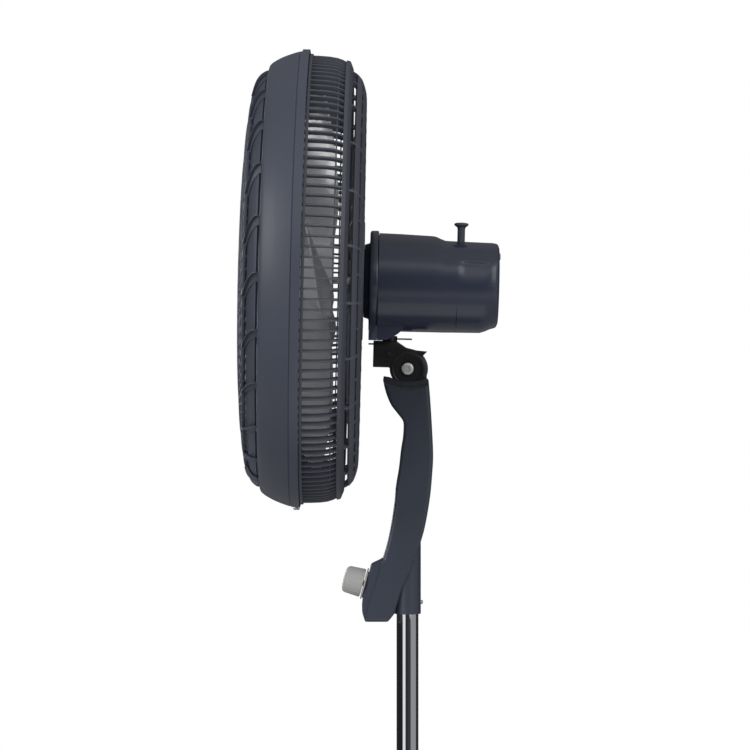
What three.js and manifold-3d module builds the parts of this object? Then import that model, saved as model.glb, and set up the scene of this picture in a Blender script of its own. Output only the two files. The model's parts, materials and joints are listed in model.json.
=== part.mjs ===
// A pedestal fan with a round caged head on a curved neck, a telescopic pole and a weighted base.
// Millimetres, +Z up, origin on the floor under the pole. Air leaves the fan towards -X.
// The head is drawn level about its tilt bolt and then turned up a little with its group.
import * as THREE from "three";
import { mergeVertices } from "three/addons/utils/BufferGeometryUtils.js";
import Module from "manifold-3d";

const wasm = await Module();
wasm.setup();

// Driving dimensions
const GAP = 0.3; // clearance between pieces that touch
const PIVOT_HEIGHT = 950; // tilt bolt above the floor
const REST_TILT = 1.35; // degrees that the head looks up at rest
const SHAFT_HEIGHT = 95; // motor shaft above the tilt bolt
const SWIVEL_X = -20; // swivel axis from the tilt bolt
const CAGE_RADIUS = 250; // outside of the bezel ring
const BLADE_RADIUS = 214;
const BLADES = 5;
const FRONT_RIBS = 24;
const REAR_RIBS = 24;
const SIDE_BARS = 30;
const SHAFT_RADIUS = 4;
const BASE_RADIUS = 220;
const UPPER_TUBE_RADIUS = 12;
const LOWER_TUBE_RADIUS = 16;
const LOWER_TUBE_TOP = 480;
const NECK_HALF_WIDTH = 17;
const LEVER = 16; // link post from the swivel axis
const SWIVEL_LIMIT = 35; // degrees each way
const CRANK_RADIUS = LEVER * Math.sin((SWIVEL_LIMIT * Math.PI) / 180);
const CRANK_X = 67;
const CRANK_TEETH = 20;
const PINION_TEETH = 6;
const WORM_WHEEL_TEETH = 14;
const SPINDLE = { x: 55, y: -12.4 };
const PANEL_SLOPE = (14.9 * Math.PI) / 180; // control panel from the vertical
const ROUND = 36; // sides of the large rings

// Materials
const paint = (color, roughness, metalness) =>
  new THREE.MeshStandardMaterial({ color, roughness, metalness });
const slate = paint(0x4f535f, 0.45, 0);
const darkSlate = paint(0x3c3f46, 0.5, 0);
const glossSlate = paint(0x35383f, 0.25, 0);
const black = paint(0x141517, 0.45, 0);
const chrome = paint(0xd8dadc, 0.08, 1);
const steel = paint(0x9a9c9c, 0.35, 1);
const iron = paint(0x3a3a3c, 0.8, 0.6);
const copper = paint(0xb36a3a, 0.4, 0.9);
const brass = paint(0xb99a55, 0.35, 0.9);
const aluminium = paint(0xa9acae, 0.45, 0.9);
const warmGrey = paint(0xa3a3a1, 0.5, 0);
const bladeGrey = paint(0xb9bcc0, 0.3, 0);
const rubber = paint(0x1b1b1c, 0.9, 0);
const acetal = paint(0xe4e2da, 0.45, 0);

// Solids for joining and cutting; a profile may run either way round.
function solidOf(shape) {
  if (!shape.isBufferGeometry) return shape;
  const bare = shape.clone();
  bare.deleteAttribute("normal");
  bare.deleteAttribute("uv");
  const merged = mergeVertices(bare, 1e-3);
  const vertProperties = merged.attributes.position.array;
  const triVerts = new Uint32Array(merged.index.array);
  const made = new wasm.Manifold(new wasm.Mesh({ numProp: 3, vertProperties, triVerts }));
  if (made.volume() > 0) return made;
  for (let i = 0; i < triVerts.length; i += 3)
    [triVerts[i + 1], triVerts[i + 2]] = [triVerts[i + 2], triVerts[i + 1]];
  return new wasm.Manifold(new wasm.Mesh({ numProp: 3, vertProperties, triVerts }));
}

function geometryOf(solid) {
  const { numVert, vertProperties, triVerts } = solid.getMesh();
  return new THREE.BufferGeometry()
    .setAttribute("position", new THREE.BufferAttribute(vertProperties.slice(0, numVert * 3), 3))
    .setIndex(new THREE.BufferAttribute(triVerts, 1));
}

const join = (first, ...rest) => rest.reduce((all, next) => all.add(solidOf(next)), solidOf(first));
const cut = (first, ...rest) => rest.reduce((left, next) => left.subtract(solidOf(next)), solidOf(first));

// Primitives along each axis, given by their ends
function rodX(radius, x0, x1, y = 0, z = 0, sides = 14) {
  const rod = new THREE.CylinderGeometry(radius, radius, x1 - x0, sides);
  return rod.rotateZ(Math.PI / 2).translate((x0 + x1) / 2, y, z);
}

function rodY(radius, y0, y1, x = 0, z = 0, sides = 20) {
  return new THREE.CylinderGeometry(radius, radius, y1 - y0, sides).translate(x, (y0 + y1) / 2, z);
}

function rodZ(radius, z0, z1, x = 0, y = 0, sides = 14) {
  const rod = new THREE.CylinderGeometry(radius, radius, z1 - z0, sides);
  return rod.rotateX(Math.PI / 2).translate(x, y, (z0 + z1) / 2);
}

function box(x0, x1, y0, y1, z0, z1) {
  const block = new THREE.BoxGeometry(x1 - x0, y1 - y0, z1 - z0);
  return block.translate((x0 + x1) / 2, (y0 + y1) / 2, (z0 + z1) / 2);
}

// Turned pieces: profile points are [distance along the axis, radius].
const turned = (profile, sides) =>
  new THREE.LatheGeometry(profile.map(([along, radius]) => new THREE.Vector2(radius, along)), sides);
const turnedX = (profile, sides = ROUND) => turned([...profile, profile[0]], sides).rotateZ(-Math.PI / 2);
const turnedZ = (profile, sides = ROUND) => turned([...profile, profile[0]], sides).rotateX(Math.PI / 2);

// Outlines: points are [across, up]
const shapeOf = (points) => new THREE.Shape(points.map(([a, b]) => new THREE.Vector2(a, b)));
const prism = (points, depth) => new THREE.ExtrudeGeometry(shapeOf(points), { depth, bevelEnabled: false });
const plateXZ = (points, y0, y1) => prism(points, y1 - y0).rotateX(Math.PI / 2).translate(0, y1, 0);
const plateXY = (points, z0, z1) => prism(points, z1 - z0).translate(0, 0, z0);

const turns = (count, make) => Array.from({ length: count }, (_, i) => make((i / count) * Math.PI * 2));
const arc = (cx, cy, radius, from, to, steps) =>
  Array.from({ length: steps + 1 }, (_, i) => {
    const angle = ((from + ((to - from) * i) / steps) * Math.PI) / 180;
    return [cx + radius * Math.cos(angle), cy + radius * Math.sin(angle)];
  });

// A toothed wheel's outline about a centre
function gearOutline(teeth, outer, root, cx, cy) {
  const corners = [];
  for (let i = 0; i < teeth * 4; i += 1) {
    const angle = ((i + 0.5) / (teeth * 4)) * Math.PI * 2;
    const radius = i % 4 < 2 ? outer : root;
    corners.push([cx + radius * Math.cos(angle), cy + radius * Math.sin(angle)]);
  }
  return corners;
}

// Groups: the stand, the part that slides with the upper tube, the tilting head and its shaft line
const fan = new THREE.Group();
const neck = new THREE.Group();
const head = new THREE.Group();
const shaftLine = new THREE.Group();
neck.position.z = PIVOT_HEIGHT;
head.position.z = PIVOT_HEIGHT;
head.rotation.y = (REST_TILT * Math.PI) / 180;
shaftLine.position.z = SHAFT_HEIGHT;
fan.add(neck, head);
head.add(shaftLine);

function piece(group, name, shape, material) {
  const mesh = new THREE.Mesh(shape.isBufferGeometry ? shape : geometryOf(shape), material);
  mesh.name = name;
  group.add(mesh);
  return mesh;
}

// Base: an iron weight on four feet under a shallow domed cover
const WEIGHT_TOP = 19;
const FOOT_HEIGHT = 6;

function base() {
  const footCircle = 150;
  turns(4, (angle) => angle + Math.PI / 4).forEach((angle, i) => {
    const foot = turnedZ([[0, 0], [0, 11], [FOOT_HEIGHT, 13], [FOOT_HEIGHT, 0]], 16);
    const mesh = piece(fan, `rubber_foot_${i + 1}`, foot, rubber);
    mesh.position.set(footCircle * Math.cos(angle), footCircle * Math.sin(angle), 0);
  });

  const bottom = FOOT_HEIGHT + GAP;
  const weight = [[bottom, 5.5], [bottom, 165], [WEIGHT_TOP, 162], [WEIGHT_TOP, 5.5]];
  piece(fan, "base_weight", turnedZ(weight), iron);

  const outside = [[4, BASE_RADIUS], [14, BASE_RADIUS - 3], [22, 204], [42, 60], [56, 36]];
  const inside = [[53, 33], [39, 58], [18.5, 204], [4, BASE_RADIUS - 3]];
  piece(fan, "base_cover", turnedZ([...outside, [56, 17], [53, 17], ...inside]), slate);

  const shank = rodZ(4.6, 4, 30);
  piece(fan, "base_screw", join(shank, rodZ(10, 2, FOOT_HEIGHT, 0, 0, 6)), steel);
}

// Lower tube with its flanged foot, the ring that dresses it, and the height clamp
const COLLAR_TOP = 515;
const CLAMP_Z = 500;

function pole() {
  const foot = WEIGHT_TOP + GAP;
  const inner = LOWER_TUBE_RADIUS - 1.5;
  const tube = [
    [foot, 5], [foot, 34], [foot + 4, 34], [foot + 4, LOWER_TUBE_RADIUS],
    [LOWER_TUBE_TOP, LOWER_TUBE_RADIUS], [LOWER_TUBE_TOP, inner], [foot + 12, inner], [foot + 12, 5],
  ];
  piece(fan, "lower_tube", turnedZ(tube, 24), darkSlate);

  const hole = LOWER_TUBE_RADIUS + GAP;
  const socket = [[56.3, hole], [56.3, 34], [62, 33], [88, 22], [104, 19.5], [104, hole]];
  piece(fan, "pole_socket", turnedZ(socket, 24), slate);

  const slide = UPPER_TUBE_RADIUS + GAP + 0.1;
  const step = LOWER_TUBE_TOP + GAP;
  const body = [
    [440, hole], [440, 20], [450, 22.5], [505, 22.5], [COLLAR_TOP, 17], [COLLAR_TOP, slide], [step, slide], [step, hole],
  ];
  const boss = rodX(9, 15, 32, 0, CLAMP_Z, 16);
  const bore = rodX(4.4, 10, 40, 0, CLAMP_Z, 16);
  const throat = rodZ(slide, step, COLLAR_TOP + 5, 0, 0, 24);
  piece(fan, "height_collar", cut(join(turnedZ(body, 24), boss), throat, bore), slate);

  const lobes = turns(6, (a) => rodX(6, 33, 52, 13 * Math.cos(a), CLAMP_Z + 13 * Math.sin(a), 12));
  const screw = rodX(4, UPPER_TUBE_RADIUS + GAP, 40, 0, CLAMP_Z, 16);
  piece(fan, "height_clamp_knob", join(rodX(14, 33, 54, 0, CLAMP_Z, 18), ...lobes, screw), black);
}

function upperTube() {
  const inner = UPPER_TUBE_RADIUS - 1.2;
  const ends = [-670, -190];
  const tube = [[ends[0], inner], [ends[0], UPPER_TUBE_RADIUS], [ends[1], UPPER_TUBE_RADIUS], [ends[1], inner]];
  piece(neck, "upper_tube", turnedZ(tube, 24), chrome);
}

// Neck: its side outline from the tilt joint down to the control box
const SLEEVE_BOTTOM = -268;
const BOX_BOTTOM = -276;
const cradle = arc(0, 37, 50, -67, -113, 6);
const neckFront = [
  [-26, -8], [-26.8, -12.3], [-23.9, -25], [-18.5, -38.6], [-5.3, -56], [-4.1, -62], [-4.9, -75], [-9.3, -108.7],
  [-14.2, -146], [-18.1, -172], [-22.4, -192], [-30, -209],
];
const controlBox = [
  [-40, -213.8], [-44.3, -233.5], [-49.3, -248.8], [-49.8, -264], [-46.5, BOX_BOTTOM], [-21.4, BOX_BOTTOM], [-14.8, -268],
];
const neckBack = [
  [-10.4, -254.3], [-4.9, -238], [2.7, -222.6], [9, -204.7], [15.9, -184], [20.3, -165.6], [24.6, -139.3],
  [27.5, -105], [26.8, -67], [24.6, -32], [22.8, -12],
];
const neckOutline = [...neckFront, ...controlBox, ...neckBack, ...cradle];

// The same outline moved inwards by a wall thickness
function inset(points, wall) {
  const area = THREE.ShapeUtils.area(points.map(([a, b]) => new THREE.Vector2(a, b)));
  const side = area > 0 ? 1 : -1;
  return points.map((point, i) => {
    const before = points[(i + points.length - 1) % points.length];
    const after = points[(i + 1) % points.length];
    const along = new THREE.Vector2(after[0] - before[0], after[1] - before[1]).normalize();
    return [point[0] - side * wall * along.y, point[1] + side * wall * along.x];
  });
}

const panelPoint = { x: -45.7, z: -235.5 };
const panelNormal = { x: -Math.cos(PANEL_SLOPE), z: Math.sin(PANEL_SLOPE) };

// A group whose -X axis is square to the control panel, with its origin where the knob's axis meets it
function onPanel() {
  const group = new THREE.Group();
  group.position.set(panelPoint.x, 0, panelPoint.z);
  group.rotation.y = PANEL_SLOPE;
  neck.add(group);
  return group;
}

const BOLT_RADIUS = 4;
const TONGUE = 6; // half width of the neck's tongue between the bracket's cheeks

function neckShell(name, side) {
  const wall = 2.5;
  const span = (from, to) => (side > 0 ? [from, to] : [-to, -from]);
  const seam = 0.15;
  const skin = plateXZ(neckOutline, ...span(seam, NECK_HALF_WIDTH));
  const hollow = plateXZ(inset(neckOutline, wall), ...span(-1, NECK_HALF_WIDTH - wall));
  const cheekRoom = rodY(20.4, ...span(-1, 13.6), 0, 0, 24);
  const tongue = plateXZ(
    [...arc(0, 0, 22.4, -20, 62, 6), ...arc(0, 0, 12.5, 95, 180, 5), [-13, -20], [-12, -40], [23, -40]],
    ...span(seam, TONGUE),
  );
  const sleeve = rodZ(14.6, SLEEVE_BOTTOM, -186, 0, 0, 24);
  const half = box(-20, 20, ...span(seam, 20), -280, -180);
  const tubeHole = rodZ(UPPER_TUBE_RADIUS + GAP, -300, -189, 0, 0, 24);
  const boltHole = rodY(BOLT_RADIUS + GAP, -30, 30);
  const panelCut = box(-6, 8, -13.3, 13.3, -15.3, 13.3);
  panelCut.rotateY(PANEL_SLOPE).translate(panelPoint.x, 0, panelPoint.z);
  const screwHole = rodY(2.3, -30, 30, 8, -120, 12);
  const setScrewHole = rodX(2.6, 10, 20, 0, -255.4, 12);
  const inletHole = rodZ(6, -280, -268, -34, 0, 16);
  const shell = cut(join(cut(skin, hollow), solidOf(sleeve).intersect(solidOf(half))), cheekRoom);
  const screwPost = cut(rodY(5, ...span(seam, NECK_HALF_WIDTH - 1), 8, -120, 12));
  const ready = join(shell, tongue, screwPost);
  piece(neck, name, cut(ready, tubeHole, boltHole, panelCut, screwHole, setScrewHole, inletHole), slate);
}

function neckFittings() {
  const screwHead = rodY(4, NECK_HALF_WIDTH + GAP, NECK_HALF_WIDTH + 2, 8, -120, 16);
  piece(neck, "neck_screw", join(rodY(1.9, -12, NECK_HALF_WIDTH + 1, 8, -120, 12), screwHead), steel);
  piece(neck, "tube_set_screw", rodX(2.2, UPPER_TUBE_RADIUS + GAP, 17, 0, -255.4, 12), steel);
  const inlet = join(rodZ(5.7, BOX_BOTTOM, -270, -34, 0, 20), rodZ(8, -273.2, -270, -34, 0, 20));
  piece(neck, "cord_inlet", cut(inlet, rodZ(3.4, -280, -260, -34, 0, 16)), rubber);
  piece(neck, "capacitor", box(-6, 14, -8, 8, -176, -146), black);

  const shank = rodY(BOLT_RADIUS, -15, 19.5);
  piece(neck, "tilt_bolt", join(shank, rodY(6.5, -17.5, -13.9)), steel);
  piece(neck, "tilt_washer", cut(rodY(9, 13.9, 15.4), rodY(BOLT_RADIUS + GAP, 10, 20)), steel);
  piece(neck, "tilt_nut", cut(rodY(7, 15.7, 21, 0, 0, 6), rodY(BOLT_RADIUS + GAP, 10, 20)), steel);
}

function controls() {
  const panel = onPanel();
  const fascia = cut(box(-0.5, 2, -13, 13, -15, 13), rodX(4.6, -5, 5));
  piece(panel, "control_fascia", fascia, darkSlate);
  const dial = cut(rodX(17.5, -2.2, -0.8, 0, 0, 32), rodX(4.6, -5, 5));
  piece(panel, "dial_plate", dial, warmGrey);
  const body = join(box(2.3, 16, -10, 10, -10, 10), rodX(4.2, -2.2, 3));
  piece(panel, "speed_switch", cut(body, rodX(3.3, -5, 14)), black);
  piece(panel, "switch_shaft", rodX(3, -16, 13), steel);
  const grip = [[-25, 0], [-25, 13.5], [-24, 14.6], [-5, 15.6], [-3, 15.6], [-3, 0]];
  piece(panel, "speed_knob", cut(turnedX(grip, 36), rodX(3.3, -16.5, 0)), warmGrey);
}

// Tilt bracket: two round cheeks about the bolt, a block for the swivel pin, and an ear for the link
const SWIVEL_PIN_RADIUS = 5;
const BOSS_TOP = 35.5;
const POST_TOP = 45.8;

function tiltBracket() {
  const cheek = (y0, y1) => rodY(19.5, y0, y1, 0, 0, 24);
  const flank = [
    [-38, 1], [-38, 30], [-14, 30], [-12, 29.5], [-2, 23], [10, 20], [21, 19], [16, 14], [0, 0], [-14, -13.5], [-20, 1],
  ];
  const solidBody = join(plateXZ(flank, -13, 13), cheek(-13, 13), rodZ(8, 25, BOSS_TOP, SWIVEL_X, 0, 24));
  const tongueRoom = cut(
    rodY(23, -TONGUE - GAP, TONGUE + GAP, 0, 0, 24),
    box(-40, -13, -20, 20, 6, 40),
  );
  const frontTab = box(-43.4, -37, -12, 12, 25.5, 27.1);
  const rearTab = box(-14, 4, -6, 6, 31.6, 33.2);
  const ear = box(-26, -14, 10, LEVER + 5, 21, 29.5);
  const pinBore = rodZ(SWIVEL_PIN_RADIUS + GAP, 3, 40, SWIVEL_X, 0, 24);
  const boltBore = rodY(BOLT_RADIUS + GAP, -20, 20);
  const lockBore = rodY(2.8, -20, 0, SWIVEL_X, 16, 12);
  const postBore = rodZ(2.4, 24, 40, SWIVEL_X, LEVER, 12);
  const whole = join(cut(solidBody, tongueRoom), frontTab, rearTab, ear);
  piece(head, "tilt_bracket", cut(whole, pinBore, boltBore, lockBore, postBore), black);
  const lockScrew = rodY(2.5, -13.4, -SWIVEL_PIN_RADIUS - GAP, SWIVEL_X, 16, 12);
  piece(head, "swivel_lock_screw", lockScrew, steel);
  piece(head, "link_post", rodZ(2.1, 24.3, POST_TOP, SWIVEL_X, LEVER, 12), steel);
}

// Motor housing: a barrel with a flatter top at the back and a chin over the bracket
const CHIN_HALF_WIDTH = 28;
const HOUSING_FRONT = -34.2;
const stations = [
  // along, top, bottom and half width from the shaft line
  [HOUSING_FRONT, 52.6, 54.5, 54], [0, 51.7, 54.5, 54], [27, 50.5, 54.5, 54], [39, 45.8, 54.5, 53.5],
  [80, 45, 54.5, 52], [90, 44.8, 49, 49.5], [97, 44.2, 48, 48],
];

function barrel(wall, front, back) {
  const sides = 24;
  const steps = stations.length - 1;
  const shape = new THREE.CylinderGeometry(1, 1, 1, sides, steps);
  const place = shape.attributes.position;
  for (let i = 0; i < place.count; i += 1) {
    const station = stations[Math.round((place.getY(i) + 0.5) * steps)];
    const [along, top, bottom, half] = station;
    const reach = Math.hypot(place.getX(i), place.getZ(i)) > 0.5 ? 1 : 0;
    const angle = Math.atan2(place.getZ(i), place.getX(i));
    const soft = (value) => Math.sign(value) * Math.abs(value) ** 0.86;
    const tall = place.getZ(i) > 0 ? top : bottom;
    const x = THREE.MathUtils.clamp(along, front, back);
    place.setXYZ(i, x, reach * (half - wall) * soft(Math.cos(angle)), reach * (tall - wall) * soft(Math.sin(angle)));
  }
  return shape;
}

const chinOutline = (wall) => [
  [-60, 20], [-60, -64.3 + wall], [-23 - wall / 3, -64.3 + wall], [-11 - wall, -56.7 + wall], [-5 - wall, -50], [-5 - wall, 20],
];

function motorHousing() {
  const wall = 2.4;
  const chin = (by, from) =>
    cut(plateXZ(chinOutline(by), by - CHIN_HALF_WIDTH, CHIN_HALF_WIDTH - by), box(-80, from, -60, 60, -80, 40));
  const outside = join(barrel(0, HOUSING_FRONT, 97), chin(0, HOUSING_FRONT));
  const inside = join(barrel(wall, HOUSING_FRONT - 1, 97 - wall), chin(wall, HOUSING_FRONT - 1));
  const swivelHole = rodZ(9, -80, -40, SWIVEL_X, 0, 24);
  const sweep = SWIVEL_LIMIT + 12;
  const slot = plateXY(
    [...arc(SWIVEL_X, 0, LEVER - 3, 90 - sweep, 90 + sweep, 8), ...arc(SWIVEL_X, 0, LEVER + 3, 90 + sweep, 90 - sweep, 8)],
    -80, -50.5,
  );
  const knobHole = rodZ(4.7, 30, 60, SPINDLE.x, SPINDLE.y);
  const screwHole = rodX(2.3, 80, 110, 0, 30, 12);
  piece(shaftLine, "motor_housing", cut(outside, inside, swivelHole, slot, knobHole, screwHole), glossSlate);
  const screw = join(rodX(1.9, 86, 98, 0, 30, 12), rodX(4, 97.3, 99, 0, 30, 16));
  piece(shaftLine, "housing_screw", screw, steel);
}

function motorFrontCover() {
  const back = HOUSING_FRONT - GAP;
  const disc = turnedX([[-44, 0], [-44, 53], [-42.5, 54.5], [back, 54.5], [back, 0]], 28);
  const chin = cut(plateXZ(chinOutline(0), -CHIN_HALF_WIDTH, CHIN_HALF_WIDTH), box(back, 60, -60, 60, -80, 40));
  const trimmed = cut(chin, box(-80, -44, -60, 60, -80, 40));
  const hollow = rodX(51.5, -41, 0, 0, 0, 28);
  const chinHollow = box(-41, 0, -25, 25, -61.9, 0);
  const whole = join(cut(join(disc, trimmed), hollow, chinHollow), rodX(40, -49.7, -41, 0, 0, 24), rodX(22, -62, -49, 0, 0, 24));
  const boss = rodX(13, -80, -30, 0, 0, 16);
  piece(shaftLine, "motor_front_cover", cut(whole, boss), darkSlate);
}

// Motor: two bells clamp the stator between them, with a bush in each
const STATOR = { from: -12, to: 18, radius: 42 };
const BOLT_CIRCLE = 37.5;

function motor() {
  const boltHoles = turns(2, (a) => rodX(2.1, -50, 50, BOLT_CIRCLE * Math.cos(a), BOLT_CIRCLE * Math.sin(a), 8));
  const bell = (discFrom, discTo, rimFrom, rimTo, hubFrom, hubTo) => {
    const rim = cut(rodX(STATOR.radius, rimFrom, rimTo, 0, 0, 24), rodX(39.8, rimFrom - 1, rimTo + 1, 0, 0, 24));
    const disc = join(rodX(STATOR.radius, discFrom, discTo, 0, 0, 24), rim, rodX(12, hubFrom, hubTo, 0, 0, 16));
    return cut(disc, rodX(8.3, -60, 60, 0, 0, 16), ...boltHoles);
  };
  const footOutline = [[-33, -58.5], [-20.5, -58.5], [-14.5, -53.6], [-13, -51.2], [-33, -51.2]];
  const foot = join(plateXZ(footOutline, -9, 9), box(-33, -29, -9, -1, -55, -38));
  const pinSocket = rodZ(SWIVEL_PIN_RADIUS + GAP, -60, -52.5, SWIVEL_X, 0, 24);
  const front = cut(join(bell(-33, -29, -30, STATOR.from - GAP, -43, -32), foot), pinSocket);
  piece(shaftLine, "front_end_bell", front, aluminium);
  piece(shaftLine, "rear_end_bell", bell(33, 37, STATOR.to + GAP, 34, 32, 42), aluminium);
  const bush = (from, to) => cut(rodX(8, from, to, 0, 0, 16), rodX(SHAFT_RADIUS + GAP, from - 1, to + 1, 0, 0, 16));
  piece(shaftLine, "front_bush", bush(-42.5, -30), brass);
  piece(shaftLine, "rear_bush", bush(32, 41.5), brass);

  const slots = turns(8, (a) => box(-60, 60, -3, 3, 20, 33).rotateX(a + Math.PI / 8));
  const core = cut(rodX(STATOR.radius, STATOR.from, STATOR.to, 0, 0, 24), rodX(22.8, -20, 30, 0, 0, 24));
  piece(shaftLine, "stator_core", cut(core, ...slots, ...boltHoles), steel);

  const coil = (from, to) => cut(rodX(35, from, to, 0, 0, 24), rodX(24, from - 1, to + 1, 0, 0, 24));
  const bars = turns(8, (a) => box(-15, 21, -2.6, 2.6, 25, 32).rotateX(a + Math.PI / 8));
  piece(shaftLine, "stator_winding", join(coil(-24, -12.5), coil(18.5, 30), ...bars), copper);

  turns(2, (a) => a).forEach((a, i) => {
    const [y, z] = [BOLT_CIRCLE * Math.cos(a), BOLT_CIRCLE * Math.sin(a)];
    const bolt = join(rodX(1.8, -35, 39, y, z, 8), rodX(3.4, -36, -33.3, y, z, 6), rodX(3.4, 37.3, 40, y, z, 6));
    piece(shaftLine, `motor_bolt_${i + 1}`, bolt, steel);
  });

  const rotorCore = rodX(22, STATOR.from, STATOR.to, 0, 0, 24);
  const endRings = rodX(19, STATOR.from - 4, STATOR.to + 4, 0, 0, 24);
  piece(shaftLine, "rotor", cut(join(rotorCore, endRings), rodX(SHAFT_RADIUS + GAP, -20, 30, 0, 0, 16)), aluminium);
  const worm = rodX(4.2, 46, 64, 0, 0, 16);
  piece(shaftLine, "motor_shaft", join(rodX(SHAFT_RADIUS, -142, 67, 0, 0, 16), worm), steel);
}

// Swivel gearing behind the motor: worm, worm wheel, clutch spindle, crank gear and link
function gearing() {
  const caseBox = cut(box(44, 83, -24, 14, -38, 17), box(46, 81, -22, 12, -35, 30));
  const holes = [
    rodX(5, 40, 50), rodZ(2.9, -50, -30, SPINDLE.x, SPINDLE.y), rodZ(2.9, -50, -30, CRANK_X, 0),
    box(43, 50, -3, 3, -1, 20),
  ];
  piece(shaftLine, "gearbox_case", cut(caseBox, ...holes), aluminium);
  const coverHole = rodZ(4.6, 10, 30, SPINDLE.x, SPINDLE.y);
  piece(shaftLine, "gearbox_cover", cut(box(44, 83, -24, 14, 17.3, 19.3), coverHole), aluminium);

  const wheel = plateXY(gearOutline(WORM_WHEEL_TEETH, 7.9, 6.9, SPINDLE.x, SPINDLE.y), -4, 4);
  piece(shaftLine, "worm_wheel", cut(wheel, rodZ(2.8, -10, 10, SPINDLE.x, SPINDLE.y)), acetal);
  const pinion = plateXY(gearOutline(PINION_TEETH, 4, 3, SPINDLE.x, SPINDLE.y), -44, -39);
  piece(shaftLine, "clutch_spindle", join(rodZ(2.5, -40, 53, SPINDLE.x, SPINDLE.y), pinion), steel);

  const wheelOutline = gearOutline(CRANK_TEETH, 13, 12, CRANK_X, 0);
  const crank = join(plateXY(wheelOutline, -44, -39), rodZ(2.6, -40, -33, CRANK_X, 0, 12), rodZ(12, -46, -43, CRANK_X, 0));
  const crankPin = rodZ(1.9, -50, -45, CRANK_X, CRANK_RADIUS, 8);
  piece(shaftLine, "crank_gear", join(crank, crankPin), acetal);

  const far = new THREE.Vector2(SWIVEL_X, LEVER);
  const near = new THREE.Vector2(CRANK_X, CRANK_RADIUS);
  const reach = near.clone().sub(far);
  const square = new THREE.Vector2(-reach.y, reach.x).setLength(3);
  const bar = [far.clone().add(square), near.clone().add(square), near.clone().sub(square), far.clone().sub(square)];
  const [under, over] = [-48.8, -46.6];
  const strap = plateXY(bar.map((corner) => [corner.x, corner.y]), under, over);
  const eyes = [far, near].map((end) => rodZ(4.5, under, over, end.x, end.y, 16));
  const linkHoles = [far, near].map((end) => rodZ(2.3, -60, -40, end.x, end.y, 8));
  piece(shaftLine, "oscillation_link", cut(join(strap, ...eyes), ...linkHoles), steel);

  const stem = [[26, 0], [26, 4.15], [62.5, 4.15], [62.5, 7.5], [63.5, 8], [65, 7], [65.7, 4], [65.8, 0]];
  const knob = cut(turnedZ(stem, 24), rodZ(2.8, 20, 56));
  const mesh = piece(shaftLine, "oscillation_knob", knob, darkSlate);
  mesh.position.set(SPINDLE.x, SPINDLE.y, 0);
}

function swivelPin() {
  const pin = cut(rodZ(SWIVEL_PIN_RADIUS, 3.6, 42, SWIVEL_X, 0, 24), rodY(2.9, -20, -4.2, SWIVEL_X, 16, 12));
  piece(head, "swivel_pin", pin, steel);
}

// Fan blades: each is a sheet that twists from root to tip
function blade(start) {
  const sheet = new THREE.BoxGeometry(1, 1, 1, 5, 3, 1);
  const place = sheet.attributes.position;
  const chordAngle = (54 * Math.PI) / 180;
  for (let i = 0; i < place.count; i += 1) {
    const out = place.getX(i) + 0.5;
    const across = place.getY(i);
    const radius = THREE.MathUtils.lerp(36, BLADE_RADIUS, out);
    const spread = chordAngle * (0.86 + 0.14 * Math.sin(Math.PI * out)) * (1 - 0.12 * out);
    const angle = start + across * spread + 0.22 * out;
    const rise = THREE.MathUtils.lerp(24, 46, Math.sin((out * Math.PI) / 2));
    const camber = 7 * (1 - 4 * across * across) * out;
    const along = -104 + across * rise + camber + place.getZ(i) * 2.4;
    place.setXYZ(i, along, radius * Math.cos(angle), radius * Math.sin(angle));
  }
  return sheet;
}

function impeller() {
  const hub = [
    [-128, 5], [-128, 26], [-117, 39], [-84, 40], [-84, 37], [-116, 34], [-121, 12], [-88, 12], [-88, 5],
  ];
  const blades = turns(BLADES, blade);
  const bore = rodX(SHAFT_RADIUS + GAP, -140, -70);
  piece(shaftLine, "impeller", cut(join(turnedX(hub, 24), rodX(6, -128, -88), ...blades), bore), bladeGrey);
  const nut = [[-146, 0], [-144.5, 10], [-141, 14], [-128.3, 16], [-128.3, 0]];
  piece(shaftLine, "impeller_nut", cut(turnedX(nut, 24), rodX(SHAFT_RADIUS + GAP, -143, -120)), darkSlate);
}

// Rear grille: a flange, side bars, a smooth band, ribs over the back and a hub plate
function rearGrille() {
  const flange = turnedX([[-113.6, 239], [-113.6, 244.5], [-107, 241]], SIDE_BARS);
  const band = turnedX([[-75.5, 239.5], [-66.5, 228.6], [-75.5, 234]], SIDE_BARS);
  const bars = turns(SIDE_BARS, (a) => box(-108, -74.8, -1.5, 1.5, 237, 242.5).rotateX(a + Math.PI / SIDE_BARS));
  const ribOutline = [[-71, 231], [-57, 219.5], [-50.4, 197], [-50.2, 62], [-53.4, 62], [-53.6, 195], [-62, 216]];
  const ribs = turns(REAR_RIBS, (a) => plateXZ(ribOutline, -1.5, 1.5).rotateX(a + Math.PI / REAR_RIBS));
  const ring = turnedX([[-52.8, 178], [-51.8, 182], [-50.8, 178]], REAR_RIBS);
  const hub = turnedX([[-54, 23], [-54, 64], [-50, 64], [-50, 23]], REAR_RIBS);
  const lug = box(-121, -108, -7, 7, -243, -238.5);
  const whole = join(flange, band, ...bars, ...ribs, ring, hub, lug);
  piece(shaftLine, "rear_grille", cut(whole, rodZ(2.3, -260, -230, -118, 0, 12)), darkSlate);
  const nut = turnedX([[-62, 22.5], [-62, 31], [-60, 33], [-54.3, 34], [-54.3, 22.5]], 32);
  piece(shaftLine, "rear_grille_nut", nut, darkSlate);
}

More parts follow.
